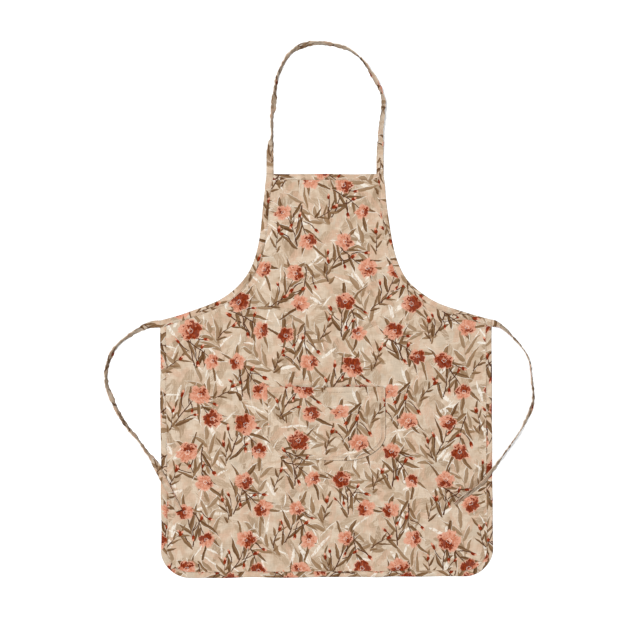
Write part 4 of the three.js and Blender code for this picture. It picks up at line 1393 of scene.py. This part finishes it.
# Stitching
# One row of lockstitch in taupe cotton thread holds the edging, the pocket and its hem, the bindings and the
# tapes' open edges. Each stitch is a short rounded length of thread that sinks into the cloth at its ends.
STITCH_PITCH = 3.4 * MM
STITCH_LENGTH = 2.9 * MM
THREAD = 0.65 * MM
THREAD_RISE = 0.08 * MM  # of its middle over the cloth
THREAD_PRESSED = THREAD / 4  # height of its middle where the cloth presses it onto the floor
SEAM_STEP = 1.2 * MM
BARE_WAIST_ROWS = 4  # of the side, below the waist corner, that have no stitches
BIB_SEAM_GAP = 4 * MM  # from a binding to the bib's first stitch
MOUTH_SEAM_GAP = 1 * MM  # from the pocket's side seam to the mouth's first stitch
THREAD_TAUPE = srgb(120, 94, 72)
THREAD_SHADE = srgb(86, 64, 47)


def thread_material():
    material = bpy.data.materials.new("taupe_thread")
    material.use_nodes = True
    tree = material.node_tree
    shader = tree.nodes["Principled BSDF"]
    coordinates = tree.nodes.new("ShaderNodeTexCoord")
    place = Reading(coordinates.outputs["Object"])
    twist, _ = place.noise(scale=2400.0)
    lengths, _ = place.noise(scale=60.0, detail=1.0)
    shade = (twist * 0.6 + lengths * 0.4).ramp(0.3, 0.7)
    fill(shader.inputs["Base Color"], shade.paint(THREAD_SHADE, THREAD_TAUPE))
    fill(shader.inputs["Roughness"], twist * 0.2 + 0.6)
    return material


def stitch_tree():
    """Lays a stitch at every pitch along the edges of a mesh."""
    tree = bpy.data.node_groups.new("row of stitches", "GeometryNodeTree")
    tree.interface.new_socket("Path", in_out="INPUT", socket_type="NodeSocketGeometry")
    for label in ("Pitch", "Length", "Thread"):
        tree.interface.new_socket(label, in_out="INPUT", socket_type="NodeSocketFloat")
    tree.interface.new_socket("Material", in_out="INPUT", socket_type="NodeSocketMaterial")
    tree.interface.new_socket("Stitches", in_out="OUTPUT", socket_type="NodeSocketGeometry")
    given = tree.nodes.new("NodeGroupInput").outputs
    link = tree.links.new

    curve = tree.nodes.new("GeometryNodeMeshToCurve")
    link(given["Path"], curve.inputs["Mesh"])
    points = tree.nodes.new("GeometryNodeCurveToPoints")
    points.mode = "LENGTH"
    link(curve.outputs["Curve"], points.inputs["Curve"])
    link(given["Pitch"], points.inputs["Length"])
    stitch = tree.nodes.new("GeometryNodeMeshUVSphere")
    stitch.inputs["Segments"].default_value = 6
    stitch.inputs["Rings"].default_value = 4
    stitch.inputs["Radius"].default_value = 0.5
    along = tree.nodes.new("FunctionNodeAlignRotationToVector")
    along.axis = "X"
    link(points.outputs["Tangent"], along.inputs["Vector"])
    uneven = tree.nodes.new("FunctionNodeRandomValue")
    uneven.data_type = "FLOAT"
    uneven.inputs["Min"].default_value = 0.88
    uneven.inputs["Max"].default_value = 1.06
    uneven.inputs["Seed"].default_value = 4
    length = tree.nodes.new("ShaderNodeMath")
    length.operation = "MULTIPLY"
    link(given["Length"], length.inputs[0])
    link(uneven.outputs["Value"], length.inputs[1])
    size = tree.nodes.new("ShaderNodeCombineXYZ")
    link(length.outputs[0], size.inputs["X"])
    link(given["Thread"], size.inputs["Y"])
    link(given["Thread"], size.inputs["Z"])
    row = tree.nodes.new("GeometryNodeInstanceOnPoints")
    link(points.outputs["Points"], row.inputs["Points"])
    link(stitch.outputs["Mesh"], row.inputs["Instance"])
    link(along.outputs["Rotation"], row.inputs["Rotation"])
    link(size.outputs[0], row.inputs["Scale"])
    whole = tree.nodes.new("GeometryNodeRealizeInstances")
    link(row.outputs["Instances"], whole.inputs["Geometry"])
    threaded = tree.nodes.new("GeometryNodeSetMaterial")
    link(whole.outputs["Geometry"], threaded.inputs["Geometry"])
    link(given["Material"], threaded.inputs["Material"])
    link(threaded.outputs["Geometry"], tree.nodes.new("NodeGroupOutput").inputs["Stitches"])
    return tree


thread = thread_material()
row_of_stitches = stitch_tree()


def stitched(name, paths):
    """One object with a row of stitches along each path."""
    points = np.vstack(paths)
    starts = np.cumsum([0] + [len(path) for path in paths])
    edges = [(k, k + 1) for start, end in zip(starts, starts[1:]) for k in range(start, end - 1)]
    mesh = bpy.data.meshes.new(name + "_path")
    mesh.from_pydata(points.tolist(), edges, [])
    guide = put(name + "_path", mesh)
    modifier = guide.modifiers.new("stitches", "NODES")
    modifier.node_group = row_of_stitches
    values = {"Pitch": STITCH_PITCH, "Length": STITCH_LENGTH, "Thread": THREAD, "Material": thread}
    for socket in row_of_stitches.interface.items_tree:
        if socket.in_out == "INPUT" and socket.name in values:
            modifier[socket.identifier] = values[socket.name]
    evaluated = guide.evaluated_get(bpy.context.evaluated_depsgraph_get())
    stitches = put(name, bpy.data.meshes.new_from_object(evaluated))
    stitches.data.name = name
    stitches.data.shade_smooth()
    bpy.data.objects.remove(guide)
    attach(stitches, "root")
    return stitches


def through_cloth(flat, heights):
    """A row's two paths, on the back and on the front of the cloth, with the thread half sunk in."""
    flat = evenly(flat, SEAM_STEP)
    back, front = heights(flat)
    places = laid(flat)
    back_height = np.maximum(back - THREAD_RISE, THREAD_PRESSED)
    return [np.column_stack((places, height)) for height in (back_height, front + THREAD_RISE)]


def skirt_seam():
    """The row of stitches along the skirt's edging, from the one waist corner round to the other."""
    below = side_run[BARE_WAIST_ROWS:]
    around = chained(mirrored(below), panel_edges["left"][: CORNER_ROWS + 1][::-1], panel_edges["bottom"])
    around = chained(around, panel_edges["right"][: CORNER_ROWS + 1], below[::-1])
    return around + sideways(around) * EDGING_SEAM


bib_seam_end = np.array((BIB_WIDTH / 2 - BINDING_WIDTH - BIB_SEAM_GAP, -EDGING_SEAM))
bib_seam = line(mirrored(bib_seam_end), bib_seam_end, 1)
panel_rows = through_cloth(bib_seam, panel_heights) + through_cloth(skirt_seam(), panel_heights)
panel_stitches = stitched("panel_stitches", panel_rows)

pocket_round = chained(pocket_edges["left"][::-1], pocket_edges["bottom"], pocket_edges["right"])
pocket_round = pocket_round + sideways(pocket_round) * POCKET_SEAM
mouth_seam_end = mouth_end - (POCKET_SEAM + MOUTH_SEAM_GAP, MOUTH_SEAM)
mouth_seam = line(mirrored(mouth_seam_end), mouth_seam_end, 1)


def through_both(flat):
    """The panel's back and the pocket's front."""
    return panel_heights(flat)[0], pocket_heights(flat)[1]


pocket_rows = through_cloth(pocket_round, through_both) + through_cloth(mouth_seam, pocket_heights)
pocket_stitches = stitched("pocket_stitches", pocket_rows)

seam_heights = (THREAD_PRESSED, BINDING_HEIGHT - BINDING_SEAM_DEPTH)
binding_rows = [binding.seam(height) for binding in bindings.values() for height in seam_heights]
binding_stitches = stitched("binding_stitches", binding_rows)

lowest_thread = (-np.inf, -np.inf, THREAD / 2)
tape_rows = [np.maximum(tape.seam(face), lowest_thread) for tape in tapes for face in (1, -1)]
stitched("tape_stitches", tape_rows)


# Floor and light
# A plain floor under a large soft light from the upper left, with a weaker one from the other side. The
# camera sees the floor as clear white, but it throws little light back onto the tapes that stand on edge.
FLOOR_HALF = 4.0
FLOOR_DROP = 0.3 * MM
FLOOR_WHITE = (0.96, 0.96, 0.96, 1)
FLOOR_GREY = (0.3, 0.3, 0.3, 1)
LIGHT_AIM = Vector((0, 0.1, 0))
corners = [(x * FLOOR_HALF, y * FLOOR_HALF, -FLOOR_DROP) for x, y in ((-1, -1), (1, -1), (1, 1), (-1, 1))]
floor_mesh = bpy.data.meshes.new("floor")
floor_mesh.from_pydata(corners, [], [(0, 1, 2, 3)])
floor = put("floor", floor_mesh)
floor_paint = bpy.data.materials.new("white_floor")
floor_paint.use_nodes = True
floor_shader = floor_paint.node_tree.nodes["Principled BSDF"]
rays = floor_paint.node_tree.nodes.new("ShaderNodeLightPath")
seen = Reading(rays.outputs["Is Camera Ray"])
fill(floor_shader.inputs["Base Color"], seen.paint(FLOOR_GREY, FLOOR_WHITE))
fill(floor_shader.inputs["Emission Color"], seen.paint((0, 0, 0, 1), FLOOR_WHITE))
floor_shader.inputs["Emission Strength"].default_value = 0.25
floor_shader.inputs["Roughness"].default_value = 0.9
floor_mesh.materials.append(floor_paint)

world = bpy.data.worlds.new("studio")
world.use_nodes = True
world.node_tree.nodes["Background"].inputs["Color"].default_value = (0.90, 0.95, 1.0, 1)
world.node_tree.nodes["Background"].inputs["Strength"].default_value = 0.28
bpy.context.scene.world = world


def soft_light(name, place, size, power):
    light = bpy.data.lights.new(name, "AREA")
    light.size = size
    light.energy = power
    item = put(name, light)
    item.location = place
    item.rotation_euler = (LIGHT_AIM - Vector(place)).to_track_quat("-Z", "Y").to_euler()


soft_light("key_light", place=(-1.5, 1.5, 5.1), size=1.2, power=234)
soft_light("fill_light", place=(1.8, -2.2, 4.2), size=2.0, power=62)
